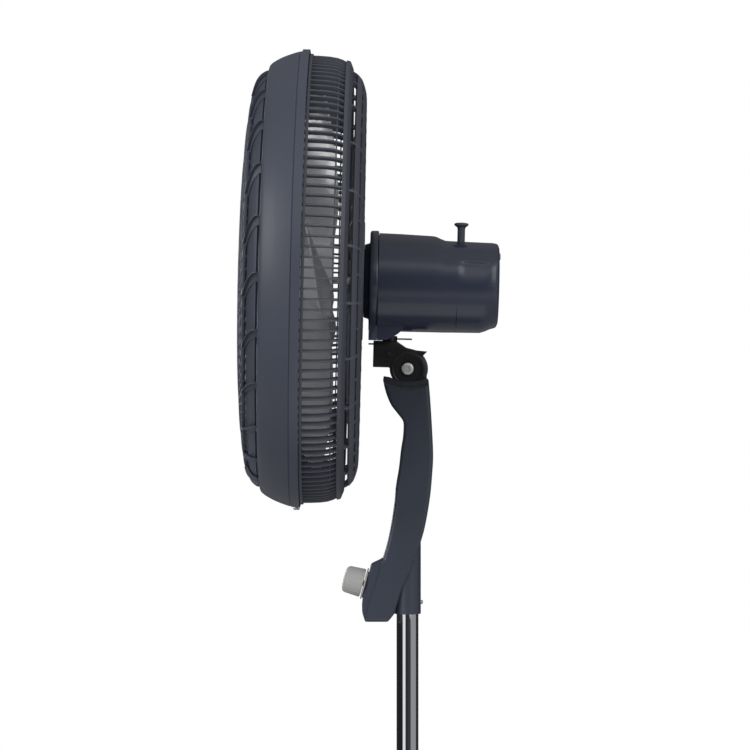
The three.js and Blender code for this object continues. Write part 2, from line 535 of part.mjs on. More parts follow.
// Bezel ring that clamps the two grilles together, with a small catch on top
function bezelRing() {
  const outside = [[-157, 231], [-153.5, 236], [-141, 243], [-126, 248.4], [-114, CAGE_RADIUS]];
  const inside = [[-114, 246.6], [-126, 245], [-141, 239.6], [-155, 228.6]];
  const catchPlate = box(-123, -114.5, -6, 6, 247, 252);
  const ring = join(turnedX([...outside, ...inside]), catchPlate);
  piece(shaftLine, "bezel_ring", cut(ring, rodZ(2.3, -260, -230, -118, 0, 12)), slate);
  const screw = join(rodZ(1.9, -251, -238, -118, 0, 12), rodZ(3.6, -252.5, -CAGE_RADIUS - GAP, -118, 0, 16));
  piece(shaftLine, "grille_lock_screw", screw, steel);
}

// Front grille: curved ribs from a hub plate over a rounded shoulder to a rim
const domeProfile = [[-153, 225], [-158, 227.5], [-169, 219], [-177, 187], [-184, 50]];

function frontRib(start) {
  const steps = domeProfile.length - 1;
  const strip = new THREE.BoxGeometry(1, 1, 1, steps, 1, 1);
  const place = strip.attributes.position;
  for (let i = 0; i < place.count; i += 1) {
    const [along, radius] = domeProfile[Math.round((place.getX(i) + 0.5) * steps)];
    const swirl = start + 0.5 * (1 - radius / 230);
    const depth = (place.getY(i) - 0.5) * 6;
    const side = (place.getZ(i) * 3.4) / radius;
    const inward = radius > 221 ? depth : depth / 3;
    place.setXYZ(i, along - depth * (radius > 221 ? 0 : 1), (radius + inward) * Math.cos(swirl + side),
      (radius + inward) * Math.sin(swirl + side));
  }
  return strip;
}

function frontGrille() {
  const rim = turnedX([[-157, 221], [-157, 226], [-151, 226], [-151, 221]], FRONT_RIBS);
  const ribs = turns(FRONT_RIBS, frontRib);
  const hub = turnedX([[-186, 0], [-186, 46], [-183, 54], [-179.5, 54], [-179.5, 0]], FRONT_RIBS);
  const seat = rodX(34.3, -190, -184.6, 0, 0, FRONT_RIBS);
  const whole = join(rim, ...ribs, hub);
  piece(shaftLine, "front_grille", cut(whole, seat), slate);
  piece(shaftLine, "grille_badge", rodX(34, -186.3, -184.9, 0, 0, FRONT_RIBS), steel);
}

base();
pole();
upperTube();
neckShell("neck_shell_left", -1);
neckShell("neck_shell_right", 1);
neckFittings();
controls();
tiltBracket();
swivelPin();
motorHousing();
motorFrontCover();
motor();
gearing();
impeller();
rearGrille();
bezelRing();
frontGrille();

export default fan;
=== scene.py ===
# Looks for the pedestal fan: smooth shells, caged head, blades and studio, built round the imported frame.
# Outlines are in millimetres, in frames at the shaft line, the tilt bolt, the control panel and the floor.
import json
import math
from math import cos, pi, radians, sin

import bmesh
import bpy
import numpy as np
from mathutils import Matrix, Vector


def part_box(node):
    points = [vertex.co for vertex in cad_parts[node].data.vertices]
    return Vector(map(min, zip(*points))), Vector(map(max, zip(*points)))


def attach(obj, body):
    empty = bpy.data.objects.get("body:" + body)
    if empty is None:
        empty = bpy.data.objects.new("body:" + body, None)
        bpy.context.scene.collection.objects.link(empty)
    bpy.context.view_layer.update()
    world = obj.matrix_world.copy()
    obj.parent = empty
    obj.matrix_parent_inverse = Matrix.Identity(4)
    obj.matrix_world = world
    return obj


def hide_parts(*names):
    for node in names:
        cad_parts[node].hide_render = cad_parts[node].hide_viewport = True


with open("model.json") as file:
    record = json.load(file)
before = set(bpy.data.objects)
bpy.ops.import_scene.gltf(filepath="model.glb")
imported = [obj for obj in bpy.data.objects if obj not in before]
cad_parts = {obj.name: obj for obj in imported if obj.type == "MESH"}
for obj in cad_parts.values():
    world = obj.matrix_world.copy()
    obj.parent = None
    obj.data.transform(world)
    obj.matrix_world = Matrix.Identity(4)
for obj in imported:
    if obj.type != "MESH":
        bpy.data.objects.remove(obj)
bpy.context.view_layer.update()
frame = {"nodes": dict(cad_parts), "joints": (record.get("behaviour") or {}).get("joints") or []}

MM = 0.001
TAU = 2 * pi
JOINTS = {joint["name"]: joint for joint in frame["joints"]}


# ---- places
UPRIGHT = Matrix.Rotation(-pi / 2, 4, "Y")  # local X becomes up
SIDEWAYS = Matrix.Rotation(pi / 2, 4, "Z")  # local X becomes Y


def at(place, x, y, z):
    """The place moved by an offset in its own frame."""
    return place @ Matrix.Translation((x, y, z))


def joint_frame(name, turn):
    """A local frame in millimetres at a joint, turned about Y."""
    place = Matrix.Translation(JOINTS[name]["pos_m"])
    return place @ Matrix.Rotation(turn, 4, "Y") @ Matrix.Scale(MM, 4)


shaft_axis = JOINTS["rotor_spin"]["axis"]
REST_TILT = math.atan2(-shaft_axis[2], shaft_axis[0])
panel_axis = JOINTS["speed_select"]["axis"]
PANEL_SLOPE = math.atan2(panel_axis[2], -panel_axis[0])
SHAFT = joint_frame("rotor_spin", REST_TILT)
HEAD = joint_frame("head_tilt", REST_TILT)
NECK = joint_frame("head_tilt", 0)
PANEL = joint_frame("speed_select", PANEL_SLOPE)
FLOOR = Matrix.Scale(MM, 4)
PIVOT = Vector(JOINTS["head_tilt"]["pos_m"])
SWIVEL_X = -20.0
SPINDLE_X = 55.0
SPINDLE_Y = -12.4
NECK_HALF_WIDTH = 17.0
TUBE_RADIUS = 12.0


# ---- materials
def node_maker(material):
    tree = material.node_tree

    def make(kind, output, operation=None, **inputs):
        """A node's output. Inputs are values or other nodes' outputs, and at_1 is the second input."""
        node = tree.nodes.new("ShaderNode" + kind)
        if operation:
            node.operation = operation
        for key, value in inputs.items():
            socket = node.inputs[int(key[3:]) if key.startswith("at_") else key.replace("_", " ")]
            if isinstance(value, bpy.types.NodeSocket):
                tree.links.new(value, socket)
            else:
                socket.default_value = value
        return node.outputs[output]

    return make, tree.links.new


def ramp_between(bands, stops):
    """Sets a colour ramp's stops and gives back its colour."""
    ramp = bands.node.color_ramp
    for i, (position, colour) in enumerate(stops):
        if i in (0, len(stops) - 1):
            stop = ramp.elements[0 if i == 0 else -1]
        else:
            stop = ramp.elements.new(position)
        stop.position = position
        stop.color = colour
    return bands


def shade(colour, factor):
    return tuple(min(1, channel * factor) for channel in colour) + (1,)


COAT_ROUGHNESS = 0.12


def surface(name, colour, rough=0.4, metallic=0, coat=0, grain=900, bump=0.05, vary=0.08,
            stretch=(1, 1, 1), wear_and_edge_highlight=0, specular=0.5, painted_shade_by_height=None):
    """A moulded or metal finish: slow colour drift, fine grain in roughness and bump, paler edges that are
    part wear and part painted highlight, and, where asked, painted shade that scales it by height.
    """
    material = bpy.data.materials.new(name)
    material.use_nodes = True
    make, link = node_maker(material)
    shader = material.node_tree.nodes["Principled BSDF"]
    values = {"Metallic": metallic, "Coat Weight": coat, "Coat Roughness": COAT_ROUGHNESS,
              "Specular IOR Level": specular}
    for socket, value in values.items():
        shader.inputs[socket].default_value = value
    place = make("TexCoord", "Object")
    mapped = make("Mapping", "Vector", Vector=place, Scale=stretch)

    drift = make("TexNoise", "Fac", Vector=mapped, Scale=9, Detail=3)
    tint = make("ValToRGB", "Color", Fac=drift)
    result = ramp_between(tint, [(0.3, shade(colour, 1 - vary)), (0.7, shade(colour, 1 + vary))])
    # Paler colour on sharp edges: partly edge wear, partly a painted highlight where edges would catch light.
    if wear_and_edge_highlight:
        point = make("NewGeometry", "Pointiness")
        edge = make("MapRange", "Result", Value=point, From_Min=0.5, From_Max=0.62, To_Min=0, To_Max=wear_and_edge_highlight)
        result = make("MixRGB", "Color", Fac=edge, Color1=result, Color2=shade(colour, 2.1))
    # Painted shade: the colour is scaled with height, so the part darkens towards its top.
    if painted_shade_by_height:
        low, high, top = painted_shade_by_height
        height = make("SeparateXYZ", "Z", Vector=place)
        share = make("MapRange", "Result", Value=height, From_Min=low, From_Max=high, To_Min=1, To_Max=top)
        result = make("VectorMath", "Vector", "SCALE", at_0=result, Scale=share)
    link(result, shader.inputs["Base Color"])

    fine = make("TexNoise", "Fac", Vector=mapped, Scale=grain, Detail=2)
    spread = make("MapRange", "Result", Value=fine, From_Min=0.3, From_Max=0.7, To_Min=rough * 0.86,
                  To_Max=rough * 1.14)
    link(spread, shader.inputs["Roughness"])
    relief = make("Bump", "Normal", Height=fine, Strength=bump, Distance=0.0003)
    link(relief, shader.inputs["Normal"])
    return material


LOOKS = {
    "slate": dict(colour=(0.070, 0.080, 0.110), rough=0.42, bump=0.06, wear_and_edge_highlight=0.25),
    "grille": dict(colour=(0.084, 0.091, 0.112), rough=0.44, bump=0.05, wear_and_edge_highlight=0.35, specular=0.4),
    "petal": dict(colour=(0.074, 0.082, 0.108), rough=0.44, bump=0.05, wear_and_edge_highlight=0.4, specular=0.35),
    # The case is darkened over its top by painted shade.
    "housing": dict(colour=(0.049, 0.058, 0.092), rough=0.22, coat=0.12, bump=0.03, vary=0.05,
                    painted_shade_by_height=(SHAFT.translation.z + 0.015, SHAFT.translation.z + 0.05, 0.6)),
    # The neck is darkened towards its top by painted shade from the head above it.
    "neck": dict(colour=(0.062, 0.073, 0.100), rough=0.34, bump=0.05, painted_shade_by_height=(0.84, 0.93, 0.62)),
    # A near-black copy of the neck plastic: painted shadow for the recess under the bracket.
    "neck_dip_painted_shade": dict(colour=(0.014, 0.016, 0.021), rough=0.6, bump=0.08),
    "black": dict(colour=(0.010, 0.0105, 0.012), rough=0.42, bump=0.08, wear_and_edge_highlight=0.2),
    "cast": dict(colour=(0.005, 0.0053, 0.0063), rough=0.34, bump=0.12, grain=600, wear_and_edge_highlight=0.5),
    "chrome": dict(colour=(0.80, 0.81, 0.83), rough=0.05, metallic=1, bump=0.01, vary=0.01,
                   stretch=(1, 1, 0.05)),
    "steel": dict(colour=(0.50, 0.51, 0.51), rough=0.32, metallic=1, bump=0.08, grain=1500),
    "zinc": dict(colour=(0.60, 0.61, 0.60), rough=0.42, metallic=0.6, bump=0.05),
    "tube": dict(colour=(0.032, 0.036, 0.045), rough=0.35, coat=0.2, bump=0.08, grain=1400),
    "iron": dict(colour=(0.050, 0.050, 0.053), rough=0.75, metallic=0.4, bump=0.5, grain=260),
    "copper": dict(colour=(0.55, 0.22, 0.09), rough=0.30, metallic=0.9, bump=0.4, grain=1200,
                   stretch=(1, 6, 6)),
    "bronze": dict(colour=(0.52, 0.36, 0.14), rough=0.35, metallic=0.9, bump=0.1),
    "aluminium": dict(colour=(0.52, 0.53, 0.54), rough=0.45, metallic=0.9, bump=0.3, grain=500),
    "warm_grey": dict(colour=(0.52, 0.52, 0.50), rough=0.45, bump=0.05, wear_and_edge_highlight=0.1),
    # Blades get strong pale edges: a painted highlight along their tips.
    "blade": dict(colour=(0.74, 0.74, 0.74), rough=0.24, coat=0.3, bump=0.02, vary=0.04, wear_and_edge_highlight=0.8),
    "rubber": dict(colour=(0.012, 0.012, 0.012), rough=0.8, bump=0.3, grain=500),
    "acetal": dict(colour=(0.75, 0.73, 0.68), rough=0.4, bump=0.05),
}
MATERIALS = {name: surface(name, **look) for name, look in LOOKS.items()}


# ---- mesh tools
class Shape:
    """Vertices and faces gathered in a local frame, in millimetres."""

    def __init__(self):
        self.verts = []
        self.faces = []

    def add(self, verts, faces):
        start = len(self.verts)
        self.verts += [tuple(v) for v in verts]
        self.faces += [[start + i for i in face] for face in faces]
        return self

    def join(self, *parts):
        for part in parts:
            self.add(part.verts, part.faces)
        return self

    def wrap(self, rows, count, around=False, closed=True, ends=False):
        """Quads between neighbouring rows of count points, and a cap on each end where asked."""
        for row in range(rows if around else rows - 1):
            here, there = row * count, (row + 1) % rows * count
            for i in range(count if closed else count - 1):
                j = (i + 1) % count
                self.faces.append([here + i, here + j, there + j, there + i])
        if ends:
            self.faces.append(list(range(count)))
            self.faces.append([(rows - 1) * count + i for i in reversed(range(count))])
        return self


WELD = 0.002
SMOOTH_ANGLE = 32.0


def finish_mesh(name, shape, place, material, smooth=SMOOTH_ANGLE):
    """The shape as an object in its place, with doubled points joined and faces turned outwards."""
    mesh = bpy.data.meshes.new(name)
    mesh.from_pydata([place @ Vector(v) for v in shape.verts], [], shape.faces)
    mesh.update()
    tidy = bmesh.new()
    tidy.from_mesh(mesh)
    bmesh.ops.remove_doubles(tidy, verts=tidy.verts, dist=WELD * MM)
    bmesh.ops.recalc_face_normals(tidy, faces=tidy.faces)
    tidy.to_mesh(mesh)
    tidy.free()
    smooth_shading(mesh, smooth)
    piece = bpy.data.objects.new(name, mesh)
    bpy.context.scene.collection.objects.link(piece)
    mesh.materials.append(MATERIALS[material])
    return piece


def smooth_shading(mesh, angle):
    """Smooth faces, with a sharp edge wherever two meet at more than the angle."""
    mesh.shade_smooth()
    mesh.set_sharp_from_angle(angle=radians(angle))


def settle(piece, body, slot, *nodes):
    """The piece rides on its body and stands for its CAD nodes, which it hides; the slot is not used."""
    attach(piece, body)
    if nodes:
        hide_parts(*nodes)
    return piece


def made(name, shape, place, material, body, slot, node, smooth=SMOOTH_ANGLE):
    """A finished piece that needs no carving, on its body."""
    return settle(finish_mesh(name, shape, place, material, smooth), body, slot, node)


def bevelled(piece, width, segments=3, angle=35):
    """Rounds each edge where two faces meet at more than the angle."""
    modifier = piece.modifiers.new("edges", "BEVEL")
    modifier.width = width * MM
    modifier.segments = segments
    modifier.limit_method = "ANGLE"
    modifier.angle_limit = radians(angle)
    modifier.harden_normals = False
    return piece


def carved(piece, cutters, operation="DIFFERENCE"):
    """Applies booleans with temporary objects, then deletes them."""
    for cutter in cutters:
        modifier = piece.modifiers.new("carve", "BOOLEAN")
        modifier.operation = operation
        modifier.solver = "MANIFOLD"
        modifier.object = cutter
    bpy.context.view_layer.update()
    applied = piece.evaluated_get(bpy.context.evaluated_depsgraph_get())
    mesh = bpy.data.meshes.new_from_object(applied)
    piece.modifiers.clear()
    old = piece.data
    piece.data = mesh
    bpy.data.meshes.remove(old)
    for cutter in cutters:
        bpy.data.objects.remove(cutter)
    keep = mesh.materials[0]
    mesh.materials.clear()
    mesh.materials.append(keep)
    smooth_shading(mesh, SMOOTH_ANGLE)
    return piece


def turned(profile, steps=160, closed=True, shaped=None):
    """Revolves [along, radius] points about the local X axis. Shaped gives the radius at each step."""
    shape = Shape()
    for step in range(steps):
        angle = TAU * step / steps
        for along, radius in profile:
            reach = shaped(along, radius, step) if shaped else radius
            shape.verts.append((along, reach * cos(angle), reach * sin(angle)))
    return shape.wrap(steps, len(profile), around=True, closed=closed)


def spun(name, profile, place, material, steps, smooth=SMOOTH_ANGLE):
    """A turned solid from an open profile."""
    return finish_mesh(name, turned(profile, steps, closed=False), place, material, smooth)


def fillet(points, radius, steps=5, closed=True):
    """Rounds the corners of an outline with arcs no larger than its edges allow."""
    rounded = []
    count = len(points)
    for i, corner in enumerate(points):
        here = Vector(corner)
        if not closed and i in (0, count - 1):
            rounded.append(tuple(here))
            continue
        before = Vector(points[i - 1]) - here
        after = Vector(points[(i + 1) % count]) - here
        reach = min(radius, before.length * 0.45, after.length * 0.45)
        first = here + before.normalized() * reach
        last = here + after.normalized() * reach
        for step in range(steps + 1):
            t = step / steps
            rounded.append(tuple(first * (1 - t) ** 2 + here * 2 * t * (1 - t) + last * t * t))
    return rounded


def spline(points, steps=6, closed=False):
    """A smooth curve through the points."""
    count = len(points)
    curve = []
    spans = count if closed else count - 1
    for i in range(spans):
        if closed:
            p = [Vector(points[(i + k - 1) % count]) for k in range(4)]
        else:
            p = [Vector(points[min(max(i + k - 1, 0), count - 1)]) for k in range(4)]
        for step in range(steps):
            t = step / steps
            curve.append(tuple(0.5 * (2 * p[1] + (p[2] - p[0]) * t
                                      + (2 * p[0] - 5 * p[1] + 4 * p[2] - p[3]) * t * t
                                      + (3 * p[1] - p[0] - 3 * p[2] + p[3]) * t ** 3)))
    if not closed:
        curve.append(tuple(points[-1]))
    return curve


def spread_out(outline, spacing):
    """The outline with points added so that none are further apart than the spacing."""
    points = []
    for here, there in zip(outline, outline[1:] + outline[:1]):
        length = math.dist(here, there)
        if length < 1e-6:
            continue
        parts = max(1, math.ceil(length / spacing))
        points += [tuple(Vector(here).lerp(Vector(there), k / parts)) for k in range(parts)]
    return points


def inset(outline, distance):
    """The outline moved inwards; points that would cross over are drawn onto their neighbours."""
    points = np.array(outline)
    ahead = np.roll(points, -1, axis=0) - points
    ahead /= np.linalg.norm(ahead, axis=1)[:, None]
    normals = np.stack([-ahead[:, 1], ahead[:, 0]], axis=1)
    if np.sum(points[:, 0] * np.roll(points[:, 1], -1) - points[:, 1] * np.roll(points[:, 0], -1)) < 0:
        normals = -normals
    before = np.roll(normals, 1, axis=0)
    middle = normals + before
    middle /= np.linalg.norm(middle, axis=1)[:, None]
    stretch = np.clip(1 / np.maximum(np.sum(middle * normals, axis=1), 0.3), 1, 3)
    moved = points + middle * (distance * stretch)[:, None]
    gaps = np.linalg.norm(moved[:, None, :] - points[None, :, :], axis=2).min(axis=1)
    kept = [i for i in range(len(points)) if gaps[i] >= distance * 0.985]
    result = moved.copy()
    for first, last in zip(kept, kept[1:] + [kept[0] + len(points)]):
        for i in range(first + 1, last):
            share = (i - first) / (last - first)
            result[i % len(points)] = moved[first] * (1 - share) + moved[last % len(points)] * share
    return [tuple(float(value) for value in point) for point in result]


def slab(outline, low, high, round_low=0, round_high=0, steps=5):
    """An outline in X and Z given thickness along Y, with rounded rims."""
    if round_low or round_high:
        outline = spread_out(outline, 2)
    turns = [pi / 2 * k / steps for k in range(steps, -1, -1)]
    rim = [(1 - cos(turn), 1 - sin(turn)) for turn in turns]
    levels = [(low, 0)]
    if round_low:
        levels = [(low + round_low * up, round_low * inwards) for up, inwards in reversed(rim)]
    if round_high:
        levels += [(high - round_high * down, round_high * inwards) for down, inwards in rim]
    else:
        levels.append((high, 0))
    shape = Shape()
    for y, depth in levels:
        ring = inset(outline, depth) if depth > 1e-6 else outline
        shape.verts += [(x, y, z) for x, z in ring]
    return shape.wrap(len(levels), len(outline), ends=True)


def block(x0, x1, y0, y1, z0, z1):
    """A box between two limits on each axis, for carving and joining."""
    corners = [(x, y, z) for x in (x0, x1) for y in (y0, y1) for z in (z0, z1)]
    faces = [[0, 1, 3, 2], [4, 6, 7, 5], [0, 4, 5, 1], [2, 3, 7, 6], [0, 2, 6, 4], [1, 5, 7, 3]]
    return Shape().add(corners, faces)


def strip(path, across, width, depth):
    """A rib along a path of points: width along each first vector, depth along each second vector."""
    shape = Shape()
    for point, (side, down) in zip(path, across):
        for a, b in ((-1, 0), (1, 0), (1, 1), (-1, 1)):
            shape.verts.append(tuple(point + side * (a * width / 2) + down * (b * depth)))
    return shape.wrap(len(path), 4, ends=True)


def cage_point(along, radius, angle):
    """A point by its place along the shaft line, its distance from it and its turn round it."""
    return Vector((along, radius * cos(angle), radius * sin(angle)))


def swirl_rib(profile, start, twist, width, depth, inside=-80):
    """A rib that follows a profile of revolution and turns about the shaft as its radius falls.

    Its depth goes towards the point of the shaft line given as inside."""
    path, across = [], []
    outer = profile[0][1]
    for along, radius in profile:
        path.append(cage_point(along, radius, start + twist(radius / outer)))
    for i, point in enumerate(path):
        ahead = (path[min(i + 1, len(path) - 1)] - path[max(i - 1, 0)]).normalized()
        before = Vector(profile[max(i - 1, 0)])
        after = Vector(profile[min(i + 1, len(profile) - 1)])
        slope = (after - before).normalized()
        angle = math.atan2(point.z, point.y)
        inward = Vector((-slope.y, slope.x * cos(angle), slope.x * sin(angle)))
        if inward.dot(Vector((inside, 0, 0)) - point) < 0:
            inward = -inward
        side = ahead.cross(inward).normalized()
        across.append((side, inward))
    return strip(path, across, width, depth)


def hoop(along, radius, width, height, steps=144):
    """A ring with a rounded rectangular section."""
    outline = fillet([(along, radius), (along + width, radius), (along + width, radius - height),
                      (along, radius - height)], min(width, height) * 0.4, 3)
    return turned(outline, steps)


# ---- bezel ring
def bezel_ring():
    outside = spline([(-157.6, 230.6), (-156.4, 233.4), (-152.5, 236.8), (-144, 241.6), (-134, 245.6),
                      (-125.2, 248.4)], 6)
    crease = [(-124.6, 248.5), (-124.3, 248), (-123.7, 248), (-123.4, 248.9)]
    rear = [(-119, 249.5), (-114.6, 249.9), (-114, 249.3), (-114, 246.9)]
    inside = [(-126, 245.2), (-141, 239.8), (-152, 232.8), (-155.6, 229.2)]
    ring = turned(outside + crease + rear + inside, 288)
    ring.join(block(-122.6, -114.4, -6, 6, 246.5, 251.6))
    made("bezel_hoop", ring, SHAFT, "slate", "head", "slate_plastic", "bezel_ring")


# ---- front grille
PETALS = 24
RIM_RADIUS = 226.0
SHOULDER_PROFILE = [(-155.5, 226.5), (-160, 227), (-164.5, 224.4), (-168.4, 220.4), (-171.6, 214.6),
                    (-174, 207)]
DOME_PROFILE = [(-173.8, 207), (-175.8, 196), (-178, 180), (-180, 160), (-182, 130), (-183.6, 95),
                (-184.2, 62), (-184.4, 50)]
FRONT_RINGS = [(-174.8, 206.6), (-177, 194), (-179.6, 174), (-182, 144), (-183.4, 108)]


def front_twist(radius):
    """How far a rib has turned where it is this far from the shaft, in radians."""
    return 1.35 * max(0, 1 - radius / RIM_RADIUS)


def petal_rib(start):
    """One rib over the shoulder: a thin proud edge with a broad flange on its lower side."""
    path = spline(SHOULDER_PROFILE, 5)
    shape = Shape()
    for i, (along, radius) in enumerate(path):
        run = i / (len(path) - 1)
        turn = start + front_twist(radius)
        flange = (10.0 - 6.0 * run) / radius
        edge = 1.3 / radius
        sink = 4.7 - 1.4 * run
        far = edge + flange
        section = ((0, 1.3), (edge, 1.3), (edge, -2.4), (far, -sink), (far, -sink - 2), (0, -3.2))
        for across, lift in section:
            shape.verts.append(tuple(cage_point(along - 0.7 * lift, radius + 0.7 * lift, turn + across)))
    return shape.wrap(len(path), len(section), ends=True)


def front_grille():
    sunk = [(x + 3.4, r - 3.4) for x, r in spline(SHOULDER_PROFILE, 4) if x < -162.6]
    back = [(x + 2, r - 2) for x, r in reversed(sunk)]
    rim = fillet([(-151, 221), (-151, 226.4), (-156.4, 227.2), (-157.4, 225.5), (-157.4, 221)], 0.8, 3)
    liner = [(-152, 214), (-152, 212.5), (-163, 212.5), (-163, 214)]
    shape = Shape().join(turned(sunk + back, 240), turned(rim, 240), turned(liner, 240))
    dome = spline(DOME_PROFILE, 4)
    dome_radius = dome[0][1]

    def turn(share):
        return front_twist(share * dome_radius) - front_twist(dome_radius)

    for i in range(PETALS):
        start = TAU * i / PETALS
        lead = start + front_twist(dome_radius)
        shape.join(petal_rib(start), swirl_rib(dome, lead, turn, 2.6, 7))
        for k in (1, 2, 3):
            shape.join(swirl_rib(dome[:-7], lead + TAU * k / 4 / PETALS, turn, 1.5, 4))
    for along, radius in FRONT_RINGS:
        shape.join(hoop(along, radius, 3.4, 3))
    hub = fillet([(-186.2, 0), (-186.2, 45), (-183.4, 54), (-178.5, 54), (-178.5, 50), (-182, 44),
                  (-182.5, 0)], 1.6, 4, closed=False)
    shape.join(turned(hub, 120, closed=False))
    made("front_guard", shape, SHAFT, "petal", "head", "slate_plastic", "front_grille")
    rim = [(-186.3, 0), (-187, 6), (-187.3, 20), (-187.2, 31), (-186.4, 34), (-185.6, 34), (-185.6, 0)]
    badge = spun("badge_disc", rim, SHAFT, "steel", 96)
    settle(badge, "head", "steel", "grille_badge")


# ---- rear grille
SIDE_BARS = 140
BAR_PROFILE = [(-116, 244.6), (-102, 244.2), (-92, 243.6), (-84, 242.4), (-78, 240.4), (-72.4, 237.4)]
BACK_PROFILE = [(-69, 230), (-66.5, 228.2), (-62, 225.5), (-57, 220), (-54.2, 213.5), (-52.2, 206),
                (-51.2, 196), (-52.4, 184), (-56, 169), (-59.6, 156), (-60.8, 145), (-60.8, 112), (-60.4, 86),
                (-57.4, 76), (-52.6, 67), (-51, 62)]
LONG_RIBS = 24
AHEAD_OF_FAN = -600.0


def rear_grille():
    shape = Shape()
    for i in range(SIDE_BARS):
        shape.join(swirl_rib(BAR_PROFILE, TAU * (i + 0.5) / SIDE_BARS, lambda share: 0, 2, 5))
    flange = fillet([(-113.6, 246.2), (-110.4, 246.2), (-110.4, 240.5), (-113.6, 240.5)], 0.8, 3)
    band = fillet([(-74.2, 240.2), (-69.8, 239.2), (-66.4, 230.6), (-66, 226.8), (-68.6, 225.6),
                   (-74.2, 235.8)], 1.2, 4)
    shape.join(turned(flange, 240), turned(band, 240), hoop(-81.6, 239.6, 1.6, 2, 240))
    long_path = spline(BACK_PROFILE, 3)
    short_path = [point for point in long_path if 100 < point[1] < 218]

    def lean(share):
        return 0.10 * (1 - share)

    for i in range(LONG_RIBS):
        turn = TAU * (i + 0.5) / LONG_RIBS
        shape.join(swirl_rib(long_path, turn, lean, 2.6, 5, AHEAD_OF_FAN),
                   swirl_rib(short_path, turn + pi / LONG_RIBS, lean, 2, 4, AHEAD_OF_FAN))
    for low, high, outer, inner in ((-61.2, -55.8, 225, 218.4), (-54.4, -51.6, 213.6, 204)):
        section = [(low, outer), (high, inner), (high - 2.4, inner - 2.4), (low - 2, outer - 3.4)]
        shape.join(turned(fillet(section, 0.9, 3), 200))
    for along, radius in rear_rings():
        shape.join(hoop(along, radius, 2.2, 2.6, 120))
    hub = fillet([(-54, 23), (-54, 66), (-51.5, 67), (-50, 64), (-50, 23)], 0.8, 3)
    shape.join(turned(hub, 96), block(-121, -108, -7, 7, -243, -238))
    made("rear_guard", shape, SHAFT, "grille", "head", "dark_slate_plastic", "rear_grille")


def rear_rings():
    """Fine rings over the dished back, evenly spaced."""
    rings = []
    for k in range(16):
        radius = 196.0 - 8.0 * k
        for (x0, r0), (x1, r1) in zip(BACK_PROFILE, BACK_PROFILE[1:]):
            if r1 <= radius < r0:
                rings.append((x0 + (x1 - x0) * (r0 - radius) / (r0 - r1) - 2.4, radius))
    return rings


def grille_fittings():
    outline = [(-62, 22.5), (-62, 30.5), (-60.5, 32.5), (-54.3, 33.8), (-54.3, 22.5)]

    def fluted(along, radius, step):
        return radius * 0.965 if radius > 25 and step % 6 >= 3 else radius

    nut = turned(outline, 144, shaped=fluted)
    made("rear_guard_nut", nut, SHAFT, "grille", "head", "dark_slate_plastic", "rear_grille_nut")
    place = at(SHAFT, -118, 0, -252.6) @ UPRIGHT
    screw(place, "guard_lock_screw", 3.6, 2.2, 1.9, 12, "head", "grille_lock_screw")


def screw(place, name, radius, height, shank, length, body, node):
    """A cross-slotted domed screw whose head starts at the local origin and whose shank runs along +X."""
    profile = [(0, 0), (0.1, radius * 0.5), (0.5, radius * 0.86), (height * 0.6, radius), (height, radius),
               (height, shank), (height + length, shank), (height + length + 0.6, 0)]
    piece = spun(name, profile, place, "zinc", 40)
    slots = []
    for wide, tall in ((radius * 0.6, 0.35), (0.35, radius * 0.6)):
        cutter = block(-1, height * 0.45, -wide, wide, -tall, tall)
        slots.append(finish_mesh("slot", cutter, place, "zinc"))
    carved(piece, slots)
    settle(piece, body, "steel", node)


# ---- blades
BLADES = 5
BLADE_ROOT = 37.0
BLADE_TIP = 214.0
BLADE_PHASE = 0.288
BLADE_ROWS = 26
BLADE_COLUMNS = 20
HALF_THICKNESS = 1.15


def blade_point(out, across):
    """A point of the blade's middle surface: out from root to tip, across the chord from -0.5 to 0.5."""
    radius = BLADE_ROOT + (BLADE_TIP - BLADE_ROOT) * out
    corner = 1 - 0.16 * max(0, abs(across) * 2 - 0.72) / 0.28 * max(0, (out - 0.86) / 0.14)
    spread = radians(54) * (0.86 + 0.14 * sin(pi * out)) * (1 - 0.12 * out) * corner
    angle = across * spread + 0.22 * out
    rise = 30 + 18 * sin(out * pi)
    camber = 7 * (1 - 4 * across * across) * out * (1.4 - out)
    return (-104 - 4 * out * out + across * rise + camber, radius, angle)


def blade(turn):
    """One blade: two skins that close at its edges, thinning towards them."""
    shape = Shape()
    rows, columns = BLADE_ROWS, BLADE_COLUMNS
    for face in (-1, 1):
        for i in range(rows + 1):
            for j in range(columns + 1):
                along, radius, angle = blade_point(i / rows, j / columns - 0.5)
                rim = min(1, min(j, columns - j) / 1.5 + 0.2, (rows - i) / 1.5 + 0.75)
                along += face * HALF_THICKNESS * rim
                shape.verts.append(tuple(cage_point(along, radius, angle + turn)))
    width = columns + 1
    size = (rows + 1) * width
    for i in range(rows):
        for j in range(columns):
            a = i * width + j
            shape.faces.append([a, a + 1, a + width + 1, a + width])
            shape.faces.append([size + a + width, size + a + width + 1, size + a + 1, size + a])
    for i in range(rows):
        for a in (i * width, i * width + columns):
            shape.faces.append([a, a + width, size + a + width, size + a])
    for j in range(columns):
        for a in (j, rows * width + j):
            shape.faces.append([a, a + 1, size + a + 1, size + a])
    return shape


